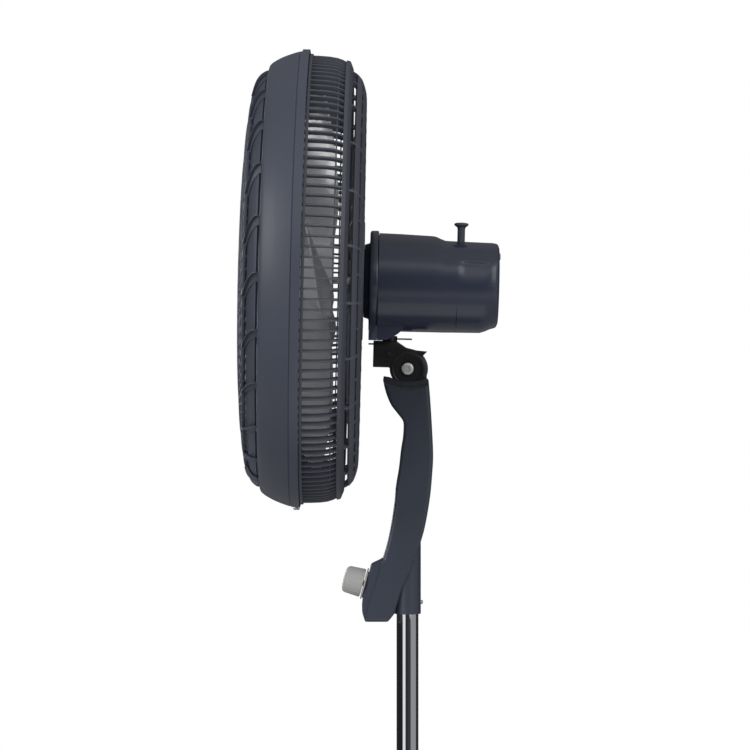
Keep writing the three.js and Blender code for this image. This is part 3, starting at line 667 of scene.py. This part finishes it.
def impeller():
    shape = Shape().join(*[blade(BLADE_PHASE + TAU * k / BLADES) for k in range(BLADES)])
    hub = fillet([(-128, 4.4), (-128, 26), (-117, 39), (-84, 40.2), (-84, 37.4), (-114, 35), (-122, 24),
                  (-122, 9), (-88, 9), (-88, 4.4)], 2, 4)
    shape.join(turned(hub, 96))
    for k in range(10):
        c, s = cos(TAU * k / 10), sin(TAU * k / 10)
        web = block(-120, -90, 8, 36, -0.8, 0.8)
        shape.add([(x, y * c - z * s, y * s + z * c) for x, y, z in web.verts], web.faces)
    made("blade_wheel", shape, SHAFT, "blade", "fan_rotor", "blade_plastic", "impeller")
    nose = [(-146.4, 0), (-146.2, 5), (-145, 10), (-141.5, 14), (-136, 15.4), (-128.4, 16),
            (-128.4, 4.4), (-143, 4.4), (-143, 0)]
    piece = spun("spinner_nut", nose, SHAFT, "grille", 72)
    settle(piece, "fan_rotor", "dark_slate_plastic", "impeller_nut")


# ---- motor housing
HOUSING_STATIONS = [
    # along, top, bottom, half width
    (-34.2, 52.8, 54.8, 54), (-10, 52.2, 54.6, 54), (24, 50.8, 54.5, 54), (28, 50.2, 54.5, 53.9),
    (33, 48, 54.5, 53.7), (38, 46.1, 54.5, 53.5), (43, 45.8, 54.4, 53.3), (78, 45, 54, 52),
    (84, 44.9, 52, 51.6), (89, 44.8, 49.6, 50.8), (93.5, 44.2, 48.4, 49.4), (95.6, 43, 47, 47.6),
    (96.8, 40, 44, 44), (97, 0, 0, 0),
]
HOUSING_POINTS = 200
CASE_WALL = 2.4  # millimetres
SQUARENESS = 0.86


def smoothstep(low, high, value):
    """A smooth rise from 0 to 1 between two limits."""
    t = min(1, max(0, (value - low) / (high - low)))
    return t * t * (3 - 2 * t)


def scoop(along, height, side):
    """Depth of the shallow finger scoop on each side, near the back."""
    start = smoothstep(50, 60, along) * (1 - smoothstep(80, 90, along))
    top = 1 - smoothstep(20.0 - 0.05 * (along - 52), 24.5 - 0.05 * (along - 52), height)
    bottom = smoothstep(-6.0 + 0.05 * (along - 52), 14.0 + 0.08 * (along - 52), height)
    return 1.3 * start * top * bottom * side


def housing_ring(along, top, bottom, half):
    """A slightly squared ring of the case, with the scoop pressed into its sides."""
    ring = []
    for i in range(HOUSING_POINTS):
        angle = TAU * i / HOUSING_POINTS
        round_point = (cos(angle), sin(angle))
        c, s = (math.copysign(abs(value) ** SQUARENESS, value) for value in round_point)
        y = half * c
        z = (top if s > 0 else bottom) * s
        side = smoothstep(0.5, 0.8, abs(round_point[0])) if half > 45 else 0.0
        y -= math.copysign(scoop(along, z, side), y)
        ring.append((along, y, z))
    return ring


def motor_housing():
    stations = []
    for a, b in zip(HOUSING_STATIONS, HOUSING_STATIONS[1:]):
        parts = max(1, int((b[0] - a[0]) / 2.5))
        for k in range(parts):
            stations.append([u + (v - u) * k / parts for u, v in zip(a, b)])
    stations.append(HOUSING_STATIONS[-1])
    shape = Shape()
    inner = Shape()
    for along, top, bottom, half in stations:
        shape.verts += housing_ring(along, top, bottom, half)
        depth = min(along, 94.4) - (1.0 if along < -34 else 0)
        thinned = [max(value - CASE_WALL, 0.1) for value in (top, bottom, half)]
        inner.verts += [(depth, y, z) for _, y, z in housing_ring(depth, *thinned)]
    shape.wrap(len(stations), HOUSING_POINTS)
    shape.faces.append(list(range(HOUSING_POINTS)))
    inner.wrap(len(stations), HOUSING_POINTS, ends=True)
    piece = finish_mesh("motor_case", shape, SHAFT, "housing", 28)
    # The chin is the block under the front of the case that meets the bracket.
    chin = slab([(-60, 10), (-60, -64.3), (-23.5, -64.3), (-11.5, -56.9), (-6, -52), (-6, 10)], -28, 28)
    lower = finish_mesh("lower", chin, SHAFT, "housing")
    front = finish_mesh("front", block(-70, -34.2, -60, 60, -80, 40), SHAFT, "housing")
    carved(lower, [front])
    carved(piece, [lower], "UNION")
    hollow = finish_mesh("hollow", inner, SHAFT, "housing")
    room = [(-36, 10), (-36, -61.9), (-24.2, -61.9), (-13.4, -54.9), (-9, -50), (-9, 10)]
    chin_room = finish_mesh("hollow_chin", slab(room, -25.6, 25.6), SHAFT, "housing")
    swivel = spun("swivel", [(-80, 0), (-80, 9), (-38, 9), (-38, 0)], at(SHAFT, SWIVEL_X, 0, 0) @ UPRIGHT,
                  "housing", 48)
    knob_hole = spun("knob_hole", [(30, 0), (30, 4.7), (60, 4.7), (60, 0)],
                     at(SHAFT, SPINDLE_X, SPINDLE_Y, 0) @ UPRIGHT, "housing", 40)
    carved(piece, [hollow, chin_room, swivel, knob_hole, link_slot()] + rear_vents() + [seam_cutter()])
    settle(piece, "head", "gloss_slate_plastic", "motor_housing")
    place = at(SHAFT, 99.2, 0, 30) @ Matrix.Rotation(pi, 4, "Z")
    screw(place, "case_screw", 4, 2, 1.9, 9, "head", "housing_screw")


def link_slot():
    """An arc round the swivel axis that the link post sweeps."""
    half = radians(47)
    outline = []
    for radius, order in ((13, range(13)), (19, range(12, -1, -1))):
        for k in order:
            angle = pi / 2 - half + 2 * half * k / 12
            outline.append((SWIVEL_X + radius * cos(angle), radius * sin(angle)))
    shape = Shape()
    shape.verts = [(x, y, z) for z in (-80, -50.5) for x, y in outline]
    return finish_mesh("link_slot", shape.wrap(2, len(outline), ends=True), SHAFT, "housing")


def rear_vents():
    """Two rows of cooling slots through the back face, shorter towards the sides."""
    vents = []
    for height in (-21, -1):
        for k in range(-4, 5):
            length = 11 - abs(k) * 0.9
            outline = [(88, -length), (104, -length), (104, length), (88, length)]
            place = at(SHAFT, 0, k * 6.5, height)
            vents.append(finish_mesh("vent", slab(outline, -1.5, 1.5), place, "housing"))
    return vents


def seam_cutter():
    """The shallow joint line round the case."""
    section = [(50.9, 53.6), (50.9, 80), (51.4, 80), (51.4, 53.6)]
    return finish_mesh("seam", turned(section, 96), SHAFT, "housing")


def motor_front_cover():
    def box_on_cover(name, *limits):
        return finish_mesh(name, block(*limits), SHAFT, "housing")

    profile = fillet([(-49.7, 12.6), (-49.7, 40), (-44.4, 41.5), (-44, 45), (-44, 53.2), (-42.6, 55.2),
                      (-36, 55.4), (-34.5, 54.6), (-34.5, 50.6), (-30, 50.6), (-30, 48.2), (-41, 48),
                      (-41, 12.6)], 0.8, 3)
    piece = finish_mesh("motor_cover", turned(profile, 144), SHAFT, "housing")
    lower = box_on_cover("lower_cover", -43.6, -34.3, -28, 28, -64.3, -40)
    hollow = box_on_cover("cover_hollow", -41, -30, -25.6, 25.6, -61.9, -30)
    ring_hole = spun("cover_bore", [(-60, 0), (-60, 52), (-30, 52), (-30, 0)], SHAFT, "housing", 96)
    carved(lower, [hollow])
    carved(lower, [ring_hole])
    bevelled(lower, 1, 2)
    carved(lower, [])
    carved(piece, [lower], "UNION")
    boss = turned([(-62, 13), (-62, 20.6), (-61, 21.6), (-49, 21.6), (-49, 13)], 64)
    carved(piece, [finish_mesh("cover_boss", boss, SHAFT, "housing")], "UNION")
    carved(piece, [box_on_cover("link_room", -41, -28, -25.6, 25.6, -61.9, -42)])
    # Thin lips close the joint with the case on three sides, clear of the link post's sweep.
    for sides in ((-25.3, -24.3, -61.6, -42), (24.3, 25.3, -61.6, -42), (-25.3, 25.3, -61.6, -60.8)):
        carved(piece, [box_on_cover("lip", -41.5, -31, *sides)], "UNION")
    carved(piece, [link_slot()])
    settle(piece, "head", "dark_slate_plastic", "motor_front_cover")


def oscillation_knob():
    """The pull knob: a bored stem over the spindle, with a flared cap."""
    profile = [(56, 0), (56, 2.8), (26, 2.8), (26, 4.15), (58.5, 4.15), (60.5, 4.7), (62, 6.6),
               (62.8, 7.7), (63.8, 8), (64.9, 7.4), (65.5, 5.4), (65.8, 2.5), (65.9, 0)]
    place = at(SHAFT, SPINDLE_X, SPINDLE_Y, 0) @ UPRIGHT
    settle(spun("swing_knob", profile, place, "grille", 64), "knob", "dark_slate_plastic", "oscillation_knob")


# ---- tilt bracket
def rod(place, radius, low, high, steps=64):
    """A plain cylinder along local X, for carving and joining."""
    return spun("rod", [(low, 0), (low, radius), (high, radius), (high, 0)], place, "cast", steps)


def arc(radius, angles, lift=0):
    """Points in X and Z on a circle, at angles in degrees."""
    turns = [radians(angle) for angle in angles]
    return [(radius * cos(turn), lift + radius * sin(turn)) for turn in turns]


BOLT_NOTCHES = 12


def bolt_recess(mirror):
    """A ring groove and notches round the bolt, sunk in one face of the bracket."""
    groove = turned([(12.2, 14.8), (12.6, 16.4), (14, 16.6), (14, 14.6)], 96)
    cutters = [finish_mesh("groove", groove, mirror, "cast")]
    for k in range(BOLT_NOTCHES):
        spot = mirror @ Matrix.Rotation(TAU * k / BOLT_NOTCHES, 4, "X")
        cutters.append(finish_mesh("notch", block(12.2, 14, 7.4, 9.6, -1, 1), spot, "cast"))
    return cutters


def tilt_bracket():
    def box_on_bracket(name, *limits):
        return finish_mesh(name, block(*limits), HEAD, "cast")

    flank = fillet([(-38, 1), (-38, 30), (-14, 30), (-12, 29.5), (-2, 23), (10, 20.2), (21.2, 19.4), (16, 14),
                    (0, 0), (-14, -13.5), (-20, 1)], 1, 2)
    piece = finish_mesh("tilt_yoke", slab(flank, -13, 13, 1.2, 1.2, 3), HEAD, "cast")
    disc = [(19.5 * cos(TAU * k / 96), 19.5 * sin(TAU * k / 96)) for k in range(96)]
    cheeks = finish_mesh("cheeks", slab(disc, -13.2, 13.2, 1.4, 1.4, 4), HEAD, "cast")
    swivel = at(HEAD, SWIVEL_X, 0, 0) @ UPRIGHT
    tabs = [box_on_bracket("tab", -43.4, -37, -12, 12, 25.5, 27.1),
            box_on_bracket("tab", -14, 4, -6, 6, 31.6, 33.2),
            box_on_bracket("tab", -26, -14, 10, 21, 21, 29.5)]
    carved(piece, [cheeks, rod(swivel, 8, 25, 35.5)] + tabs, "UNION")
    middle = rod(HEAD @ SIDEWAYS, 23, -6.3, 6.3, 96)
    carved(middle, [box_on_bracket("spare", -40, -13, -20, 20, 6, 40)])
    holes = [middle, rod(swivel, 5.3, 3, 40), rod(HEAD @ SIDEWAYS, 4.3, -20, 20),
             rod(at(HEAD, SWIVEL_X, 0, 16) @ SIDEWAYS, 2.8, -20, 0),
             rod(at(HEAD, SWIVEL_X, 16, 0) @ UPRIGHT, 2.4, 24, 40)]
    for side in (-1, 1):
        holes += bolt_recess(HEAD @ Matrix.Scale(side, 4, (0, 1, 0)) @ SIDEWAYS)
    carved(piece, holes)
    bevelled(piece, 0.5, 2, 50)
    settle(piece, "bracket", "black_cast", "tilt_bracket")


def tilt_bolt():
    profile = [(-17.4, 0), (-17.4, 4.9), (-16.8, 6.2), (-16, 6.6), (-13.9, 6.6), (-13.9, 4),
               (19.5, 4), (19.5, 0)]
    piece = spun("pivot_bolt", profile, HEAD @ SIDEWAYS, "zinc", 64)
    socket = [(-20, 0), (-20, 3), (-16.2, 3), (-16.2, 0)]
    carved(piece, [spun("socket", socket, HEAD @ SIDEWAYS, "zinc", 6)])
    settle(piece, "neck", "steel", "tilt_bolt")
    hexagon = turned([(15.7, 4.2), (15.7, 7), (20.4, 7), (21, 6.4), (21, 4.2)], 6)
    made("pivot_nut", hexagon, NECK @ SIDEWAYS, "zinc", "neck", "steel", "tilt_nut", 20)
    ring = turned([(13.9, 4.2), (13.9, 9), (15.4, 9), (15.4, 4.2)], 48)
    washer = finish_mesh("pivot_washer", ring, NECK @ SIDEWAYS, "zinc")
    settle(bevelled(washer, 0.3, 2), "neck", "steel", "tilt_washer")


# ---- neck
NECK_FRONT = [(-26, -8), (-26.8, -12.3), (-23.9, -25), (-18.5, -38.6), (-11.2, -48.5), (-5.6, -56),
              (-4.2, -62), (-4.9, -75), (-7.1, -89), (-9.3, -108.7), (-12.6, -128.4), (-14.2, -146),
              (-18.1, -172), (-22.4, -192), (-26.8, -207)]
CONTROL_BOX = [(-30.2, -209.2), (-40, -213.8), (-44.3, -233.5), (-48.9, -248.8), (-49.9, -257), (-49.6, -266),
               (-46.5, -276.2), (-21.4, -276.2), (-14.8, -268)]
NECK_BACK = [(-12.9, -263), (-10.4, -254.3), (-4.9, -238), (2.7, -222.6), (9, -204.7), (15.9, -184),
             (20.3, -165.6), (24.6, -139.3), (26.8, -116), (27.9, -94.4), (26.8, -67), (24.6, -32),
             (22.9, -12)]
SHELL_WALL = 2.6
DIP_RISE = 37.0
# Limits of the recess faces painted dark as shade: reach from the recess centre, and the span of depth across
# the neck.
PAINTED_SHADE_REACH = 58.5
PAINTED_SHADE_LOW = 14.5
PAINTED_SHADE_HIGH = 17.3


def neck_outline():
    """The neck from the side, with a concave top edge that the bracket's cheeks sit in."""
    front = spline(NECK_FRONT[1:], 5)
    back = spline(NECK_BACK, 5)
    corner = fillet([front[-1]] + CONTROL_BOX + [back[0]], 2.2, 4, closed=False)
    cradle = arc(50, [-67 - 46 * k / 12 for k in range(13)], DIP_RISE)
    return [NECK_FRONT[0]] + front[:-1] + corner + back[1:] + cradle


def neck_half(name, side, node):
    def slab_on_neck(part, *form):
        return finish_mesh(part, slab(*form), place, "neck")

    outline = neck_outline()
    seam, outer = 0.2, NECK_HALF_WIDTH
    place = NECK @ Matrix.Scale(side, 4, (0, 1, 0))
    piece = finish_mesh(name, slab(outline, seam, outer, 0.5, 4.2, 7), place, "neck", 40)
    core = inset(spread_out(outline, 2), SHELL_WALL)
    hollow = slab_on_neck("hollow", core, -1, outer - 2.8)
    dip = at(place, 0, 0, DIP_RISE) @ SIDEWAYS
    carved(hollow, [rod(dip, 63, 13.7, 30, 96)])
    sleeve = rod(place @ UPRIGHT, 14.6, -268, -186, 96)
    keep = finish_mesh("keep", block(-20, 20, seam, 20, -280, -180), place, "neck")
    carved(sleeve, [keep], "INTERSECT")
    edge = arc(22.4, range(-20, 63, 4)) + arc(12.5, range(95, 181, 8)) + [(-13, -20), (-12, -40), (23, -40)]
    tongue = slab_on_neck("tongue", edge, seam, 6, 0, 0.8, 2)
    bowl = [(17.2, 0), (17.2, 48.5), (14.6, 57.4), (15, 58.6), (outer + 0.3, 60.6), (outer + 8, 60.6),
            (outer + 8, 0)]
    recess = spun("recess", bowl, dip, "neck", 200)
    carved(piece, [hollow, recess, rod(place @ SIDEWAYS, 20.4, -1, 13.6, 96)])
    carved(piece, [sleeve, tongue], "UNION")
    window = finish_mesh("window", block(-6, 8, -13.3, 13.3, -15.3, 13.3), PANEL, "neck")
    step = [(-28.6, -206), (-32.3, -228), (-42.6, -257.6), (-44.6, -267), (-46, -280), (-62, -280),
            (-62, -206)]
    cutters = [window, slab_on_neck("front_step", step, outer - 1, outer + 6),
               rod(place @ UPRIGHT, TUBE_RADIUS + 0.25, -300, -189, 96), rod(place @ SIDEWAYS, 4.3, -1, 30),
               rod(at(NECK, 8, 0, -120) @ SIDEWAYS, 2.3, -13.5, 30), rod(at(NECK, 0, 0, -255.4), 2.6, 10, 20),
               rod(at(NECK, -34, 0, 0) @ UPRIGHT, 6, -280, -268)]
    carved(piece, cutters)
    # Recess faces take the near-black material: painted shadow under the bracket's cheeks.
    piece.data.materials.append(MATERIALS["neck_dip_painted_shade"])
    middle = dip.translation
    for face in piece.data.polygons:
        reach = math.hypot(face.center.x - middle.x, face.center.z - middle.z)
        if reach < PAINTED_SHADE_REACH * MM and PAINTED_SHADE_LOW * MM < abs(face.center.y) < PAINTED_SHADE_HIGH * MM:
            face.material_index = 1
    settle(piece, "neck", "slate_plastic", node)


def neck_fittings():
    place = at(NECK, 8, NECK_HALF_WIDTH + 2.2, -120) @ Matrix.Rotation(-pi / 2, 4, "Z")
    screw(place, "shell_screw", 4, 1.8, 1.9, 28, "neck", "neck_screw")
    place = at(NECK, 17, 0, -255.4) @ Matrix.Rotation(pi, 4, "Z")
    profile = [(0, 0), (0.1, 1.4), (0.5, 2.2), (4.6, 2.2), (4.6, 0)]
    settle(spun("tube_grub_screw", profile, place, "zinc", 32), "neck", "steel", "tube_set_screw")
    profile = [(-276.1, 3.4), (-276.1, 5.7), (-273.2, 5.7), (-273.2, 8), (-270, 8), (-270, 3.4)]
    made("cable_inlet", turned(fillet(profile, 0.5, 3), 48), at(NECK, -34, 0, 0) @ UPRIGHT, "rubber",
         "neck", "rubber", "cord_inlet")


def upper_tube():
    profile = fillet([(-670, 10.8), (-670, 12), (-190, 12), (-190, 10.8)], 0.4, 2)
    made("chrome_tube", turned(profile, 128), NECK @ UPRIGHT, "chrome", "neck", "chrome", "upper_tube")


def controls():
    plate = slab(fillet([(-0.6, -15), (2, -15), (2, 13), (-0.6, 13)], 0.3, 2), -13, 13, 0.4, 0.4, 2)
    fascia = finish_mesh("fascia_plate", plate, PANEL, "grille")
    carved(fascia, [rod(PANEL, 4.6, -5, 5)])
    settle(fascia, "neck", "dark_slate_plastic", "control_fascia")
    disc = fillet([(-2.2, 4.6), (-2.2, 17), (-1.6, 17.5), (-0.8, 17.5), (-0.8, 4.6)], 0.3, 2)
    made("speed_scale", turned(disc, 96), PANEL, "warm_grey", "neck", "warm_grey_plastic", "dial_plate")

    steps = 240
    profile = [(-25, 0), (-24.9, 5), (-24.6, 9.2), (-23.8, 12.2), (-22.4, 13.9), (-20, 14.8),
               (-5.2, 15.7), (-4, 15.6), (-3.4, 14.8), (-3.2, 12), (-3.2, 3.4), (-16, 3.4),
               (-16, 0)]

    def ridged(along, radius, step):
        groove = 0.5 - 0.5 * cos(TAU * step / steps * 24)
        return radius - 0.22 * groove if -21.0 < along < -5.0 and radius > 14 else radius

    knob = turned(profile, steps, closed=False, shaped=ridged)
    piece = finish_mesh("speed_grip", knob, PANEL, "warm_grey", 40)
    pointer = finish_mesh("pointer", block(-26, -24.5, -0.7, 0.7, 5.5, 12.5), PANEL, "warm_grey")
    carved(piece, [pointer])
    settle(piece, "speed_dial", "warm_grey_plastic", "speed_knob")


# ---- stand
CLAMP_HEIGHT = 500.0


def stand():
    upward = FLOOR @ UPRIGHT
    dome = spline([(4.2, 219.6), (8, 219.9), (13, 218.4), (18, 212.5), (23, 196), (29.5, 150), (36, 105),
                   (43, 64), (50, 42), (56, 35.6)], 5)
    inside = [(56, 17), (53, 17), (52.6, 32), (39, 58), (26, 120), (19.6, 190), (14, 207), (4.2, 216.6)]
    made("base_dome", turned(dome + inside, 240), upward, "slate", "stand", "slate_plastic", "base_cover")
    disc = fillet([(6.3, 5.5), (6.3, 165), (19, 162), (19, 5.5)], 1.5, 3)
    made("base_ballast", turned(disc, 160), upward, "iron", "stand", "iron", "base_weight")
    flare = [(57, 33.2), (60, 33.4), (66, 30.6), (76, 25.4), (90, 21.4), (101, 19.6), (103.4, 19)]
    boot = turned(spline(flare, 5) + [(103.4, 16.3), (56.3, 16.3), (56.3, 32.8)], 120)
    settle(finish_mesh("pole_boot", boot, upward, "slate"), "stand", "slate_plastic", "pole_socket")
    profile = [(19.3, 5), (19.3, 33.4), (19.9, 34), (22.7, 34), (23.3, 33.4), (23.3, 17), (24.3, 16),
               (479.4, 16), (480, 15.5), (480, 14.5), (31.3, 14.5), (31.3, 5)]
    made("outer_tube", turned(profile, 128), upward, "tube", "stand", "dark_tube", "lower_tube")
    profile = [(0, 0), (0, 9.5), (0.5, 11), (1.5, 11.8), (5.4, 12.9), (6, 12.6), (6, 0)]
    for k in range(4):
        node = f"rubber_foot_{k + 1}"
        low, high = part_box(node)
        centre = (low + high) / 2
        place = Matrix.Translation((centre.x, centre.y, 0)) @ upward
        settle(spun(f"floor_pad_{k + 1}", profile, place, "rubber", 48), "stand", "rubber", node)
    profile = [(2, 0), (2, 8.6), (2.6, 9.8), (6, 9.8), (6, 4.6), (30, 4.6), (30, 0)]
    settle(spun("base_bolt", profile, upward, "zinc", 6, 20), "stand", "steel", "base_screw")


def height_clamp():
    profile = fillet([(440, 16.3), (440, 20), (450, 22.5), (505, 22.5), (515, 17), (515, 12.5), (480.3, 12.5),
                      (480.3, 16.3)], 1.4, 4)
    collar = finish_mesh("height_lock", turned(profile, 120), FLOOR @ UPRIGHT, "slate")
    side = at(FLOOR, 0, 0, CLAMP_HEIGHT)
    carved(collar, [rod(side, 9, 15, 32, 48)], "UNION")
    throat = rod(FLOOR @ UPRIGHT, 12.5, 481, 530, 96)
    carved(collar, [rod(side, 4.4, 10, 40, 32), throat])
    bevelled(collar, 0.6, 2, 50)
    settle(collar, "stand", "slate_plastic", "height_collar")

    steps = 144
    profile = [(12.4, 0), (12.4, 4), (33, 4), (33, 15.5), (34.5, 17), (50, 17), (52.5, 15.8),
               (54, 12), (54, 0)]

    def lobed(along, radius, step):
        return radius * (0.94 + 0.12 * cos(6 * (TAU * step / steps))) if radius > 5 else radius

    knob = turned(profile, steps, closed=False, shaped=lobed)
    made("clamp_grip", knob, side, "black", "height_clamp", "black_plastic", "height_clamp_knob", 40)


# ---- inner pieces keep their CAD shapes
INNER = {
    "capacitor": "black", "speed_switch": "black", "switch_shaft": "steel", "swivel_lock_screw": "black",
    "link_post": "steel", "swivel_pin": "steel", "front_end_bell": "aluminium", "rear_end_bell": "aluminium",
    "front_bush": "bronze", "rear_bush": "bronze", "stator_core": "steel", "stator_winding": "copper",
    "motor_bolt_1": "zinc", "motor_bolt_2": "zinc", "rotor": "aluminium", "motor_shaft": "steel",
    "gearbox_case": "aluminium", "gearbox_cover": "aluminium", "worm_wheel": "acetal",
    "clutch_spindle": "steel", "crank_gear": "acetal", "oscillation_link": "zinc",
}


def inner_pieces():
    for node, material in INNER.items():
        data = frame["nodes"][node].data
        data.materials.clear()
        data.materials.append(MATERIALS[material])
        smooth_shading(data, 30)


# ---- studio
# Brightness round the room at eye level: degrees from the camera's side towards +X.
EYE_LEVEL = [(-180, 0.03), (-53, 0.02), (-50, 1.15), (-24, 1.15), (-21, 0.03), (30, 0.07), (37, 0.42),
             (96, 0.42), (101, 0.04), (180, 0.03)]
# Brightness above and below eye level: sine of the elevation.
NEAR_SIDE = [(-1, 0.9), (-0.3, 0.7), (0, 0.45), (0.34, 0.5), (0.42, 1.2), (0.56, 1.2), (0.64, 0.6),
             (1, 0.6)]
FAR_SIDE = [(-1, 0.4), (-0.2, 0.2), (0.5, 0.2), (1, 0.5)]
# Name, place, what it aims at, size and power.
LAMPS = [("key", (-3.4, -1.9, 2.2), (0, 0, 1), 2, 46), ("fill", (2.4, -3, 2.4), (0, 0, 1), 2.4, 28),
         ("rim", (-1.7, 2.4, 1.2), (0, 0, 1), 1, 11),
         ("low", (0, -0.75, 0.05), (0, -0.7499, 1), 0.9, 1.1)]
FOCAL_LENGTH = 151.2
CAMERA_OFFSET = Vector((-0.0356, -3.45, -0.0068))  # from the tilt bolt
FLOOR_RADIUS = 2400


def ramp_of(make, value, low, high, stops):
    """A grey ramp over a value between low and high."""
    share = make("MapRange", "Result", Value=value, From_Min=low, From_Max=high)
    greys = [((level - low) / (high - low), (grey, grey, grey * 1.03, 1)) for level, grey in stops]
    return ramp_between(make("ValToRGB", "Color", Fac=share), greys)


def room_light(make):
    """The room by direction: bands at eye level, a soft strip above them, and a duller far side."""
    place = make("TexCoord", "Generated")
    x, y, z = make("SeparateXYZ", "X", Vector=place).node.outputs
    toward = make("Math", "Value", "MULTIPLY", at_0=y, at_1=-1)
    around = make("Math", "Value", "ARCTAN2", at_0=x, at_1=toward)
    turned_greys = [(radians(angle), grey) for angle, grey in EYE_LEVEL]
    eye_level = ramp_of(make, around, -pi, pi, turned_greys)
    near = ramp_of(make, z, -1, 1, NEAR_SIDE)
    far = ramp_of(make, z, -1, 1, FAR_SIDE)
    side = make("MapRange", "Result", Value=y, From_Min=-0.25, From_Max=0.25)
    room = make("MixRGB", "Color", Fac=side, Color1=near, Color2=far)
    height = make("Math", "Value", "ABSOLUTE", at_0=z)
    level = make("MapRange", "Result", Value=height, From_Min=0.16, From_Max=0.26, To_Min=1, To_Max=0)
    return make("MixRGB", "Color", Fac=level, Color1=room, Color2=eye_level)


def studio():
    scene = bpy.context.scene
    camera_data = bpy.data.cameras.new("camera")
    camera_data.lens = FOCAL_LENGTH
    camera_data.sensor_width = 36.0
    camera = bpy.data.objects.new("camera", camera_data)
    camera.location = PIVOT + CAMERA_OFFSET
    camera.rotation_euler = (pi / 2, 0, 0)
    scene.collection.objects.link(camera)
    scene.camera = camera

    floor = spun("floor", [(-0.4, 0), (-0.4, FLOOR_RADIUS)], FLOOR @ UPRIGHT, "slate", 96)
    pale = surface("pale_floor", (0.42, 0.42, 0.42), rough=0.7, bump=0.02, vary=0.01)
    floor.data.materials.clear()
    floor.data.materials.append(pale)

    for name, place, aim, size, power in LAMPS:
        lamp_data = bpy.data.lights.new(name, "AREA")
        lamp_data.energy = power
        lamp_data.size = size
        lamp = bpy.data.objects.new(name, lamp_data)
        lamp.location = place
        lamp.rotation_euler = (Vector(aim) - Vector(place)).to_track_quat("-Z", "Y").to_euler()
        scene.collection.objects.link(lamp)
        lamp.visible_camera = False

    world = bpy.data.worlds.new("studio")
    scene.world = world
    world.use_nodes = True
    make, link = node_maker(world)
    seen = world.node_tree.nodes["Background"]
    seen.inputs["Color"].default_value = (1, 1, 1, 1)
    room = make("Background", "Background", Color=room_light(make), Strength=0.75)
    direct = make("LightPath", "Is Camera Ray")
    both = make("MixShader", "Shader", Fac=direct, at_1=room, at_2=seen.outputs["Background"])
    link(both, world.node_tree.nodes["World Output"].inputs["Surface"])
    scene.view_settings.view_transform = "Standard"


bezel_ring()
front_grille()
rear_grille()
grille_fittings()
impeller()
motor_housing()
motor_front_cover()
oscillation_knob()
tilt_bracket()
tilt_bolt()
neck_half("neck_near", -1, "neck_shell_left")
neck_half("neck_far", 1, "neck_shell_right")
neck_fittings()
upper_tube()
controls()
stand()
height_clamp()
inner_pieces()
studio()
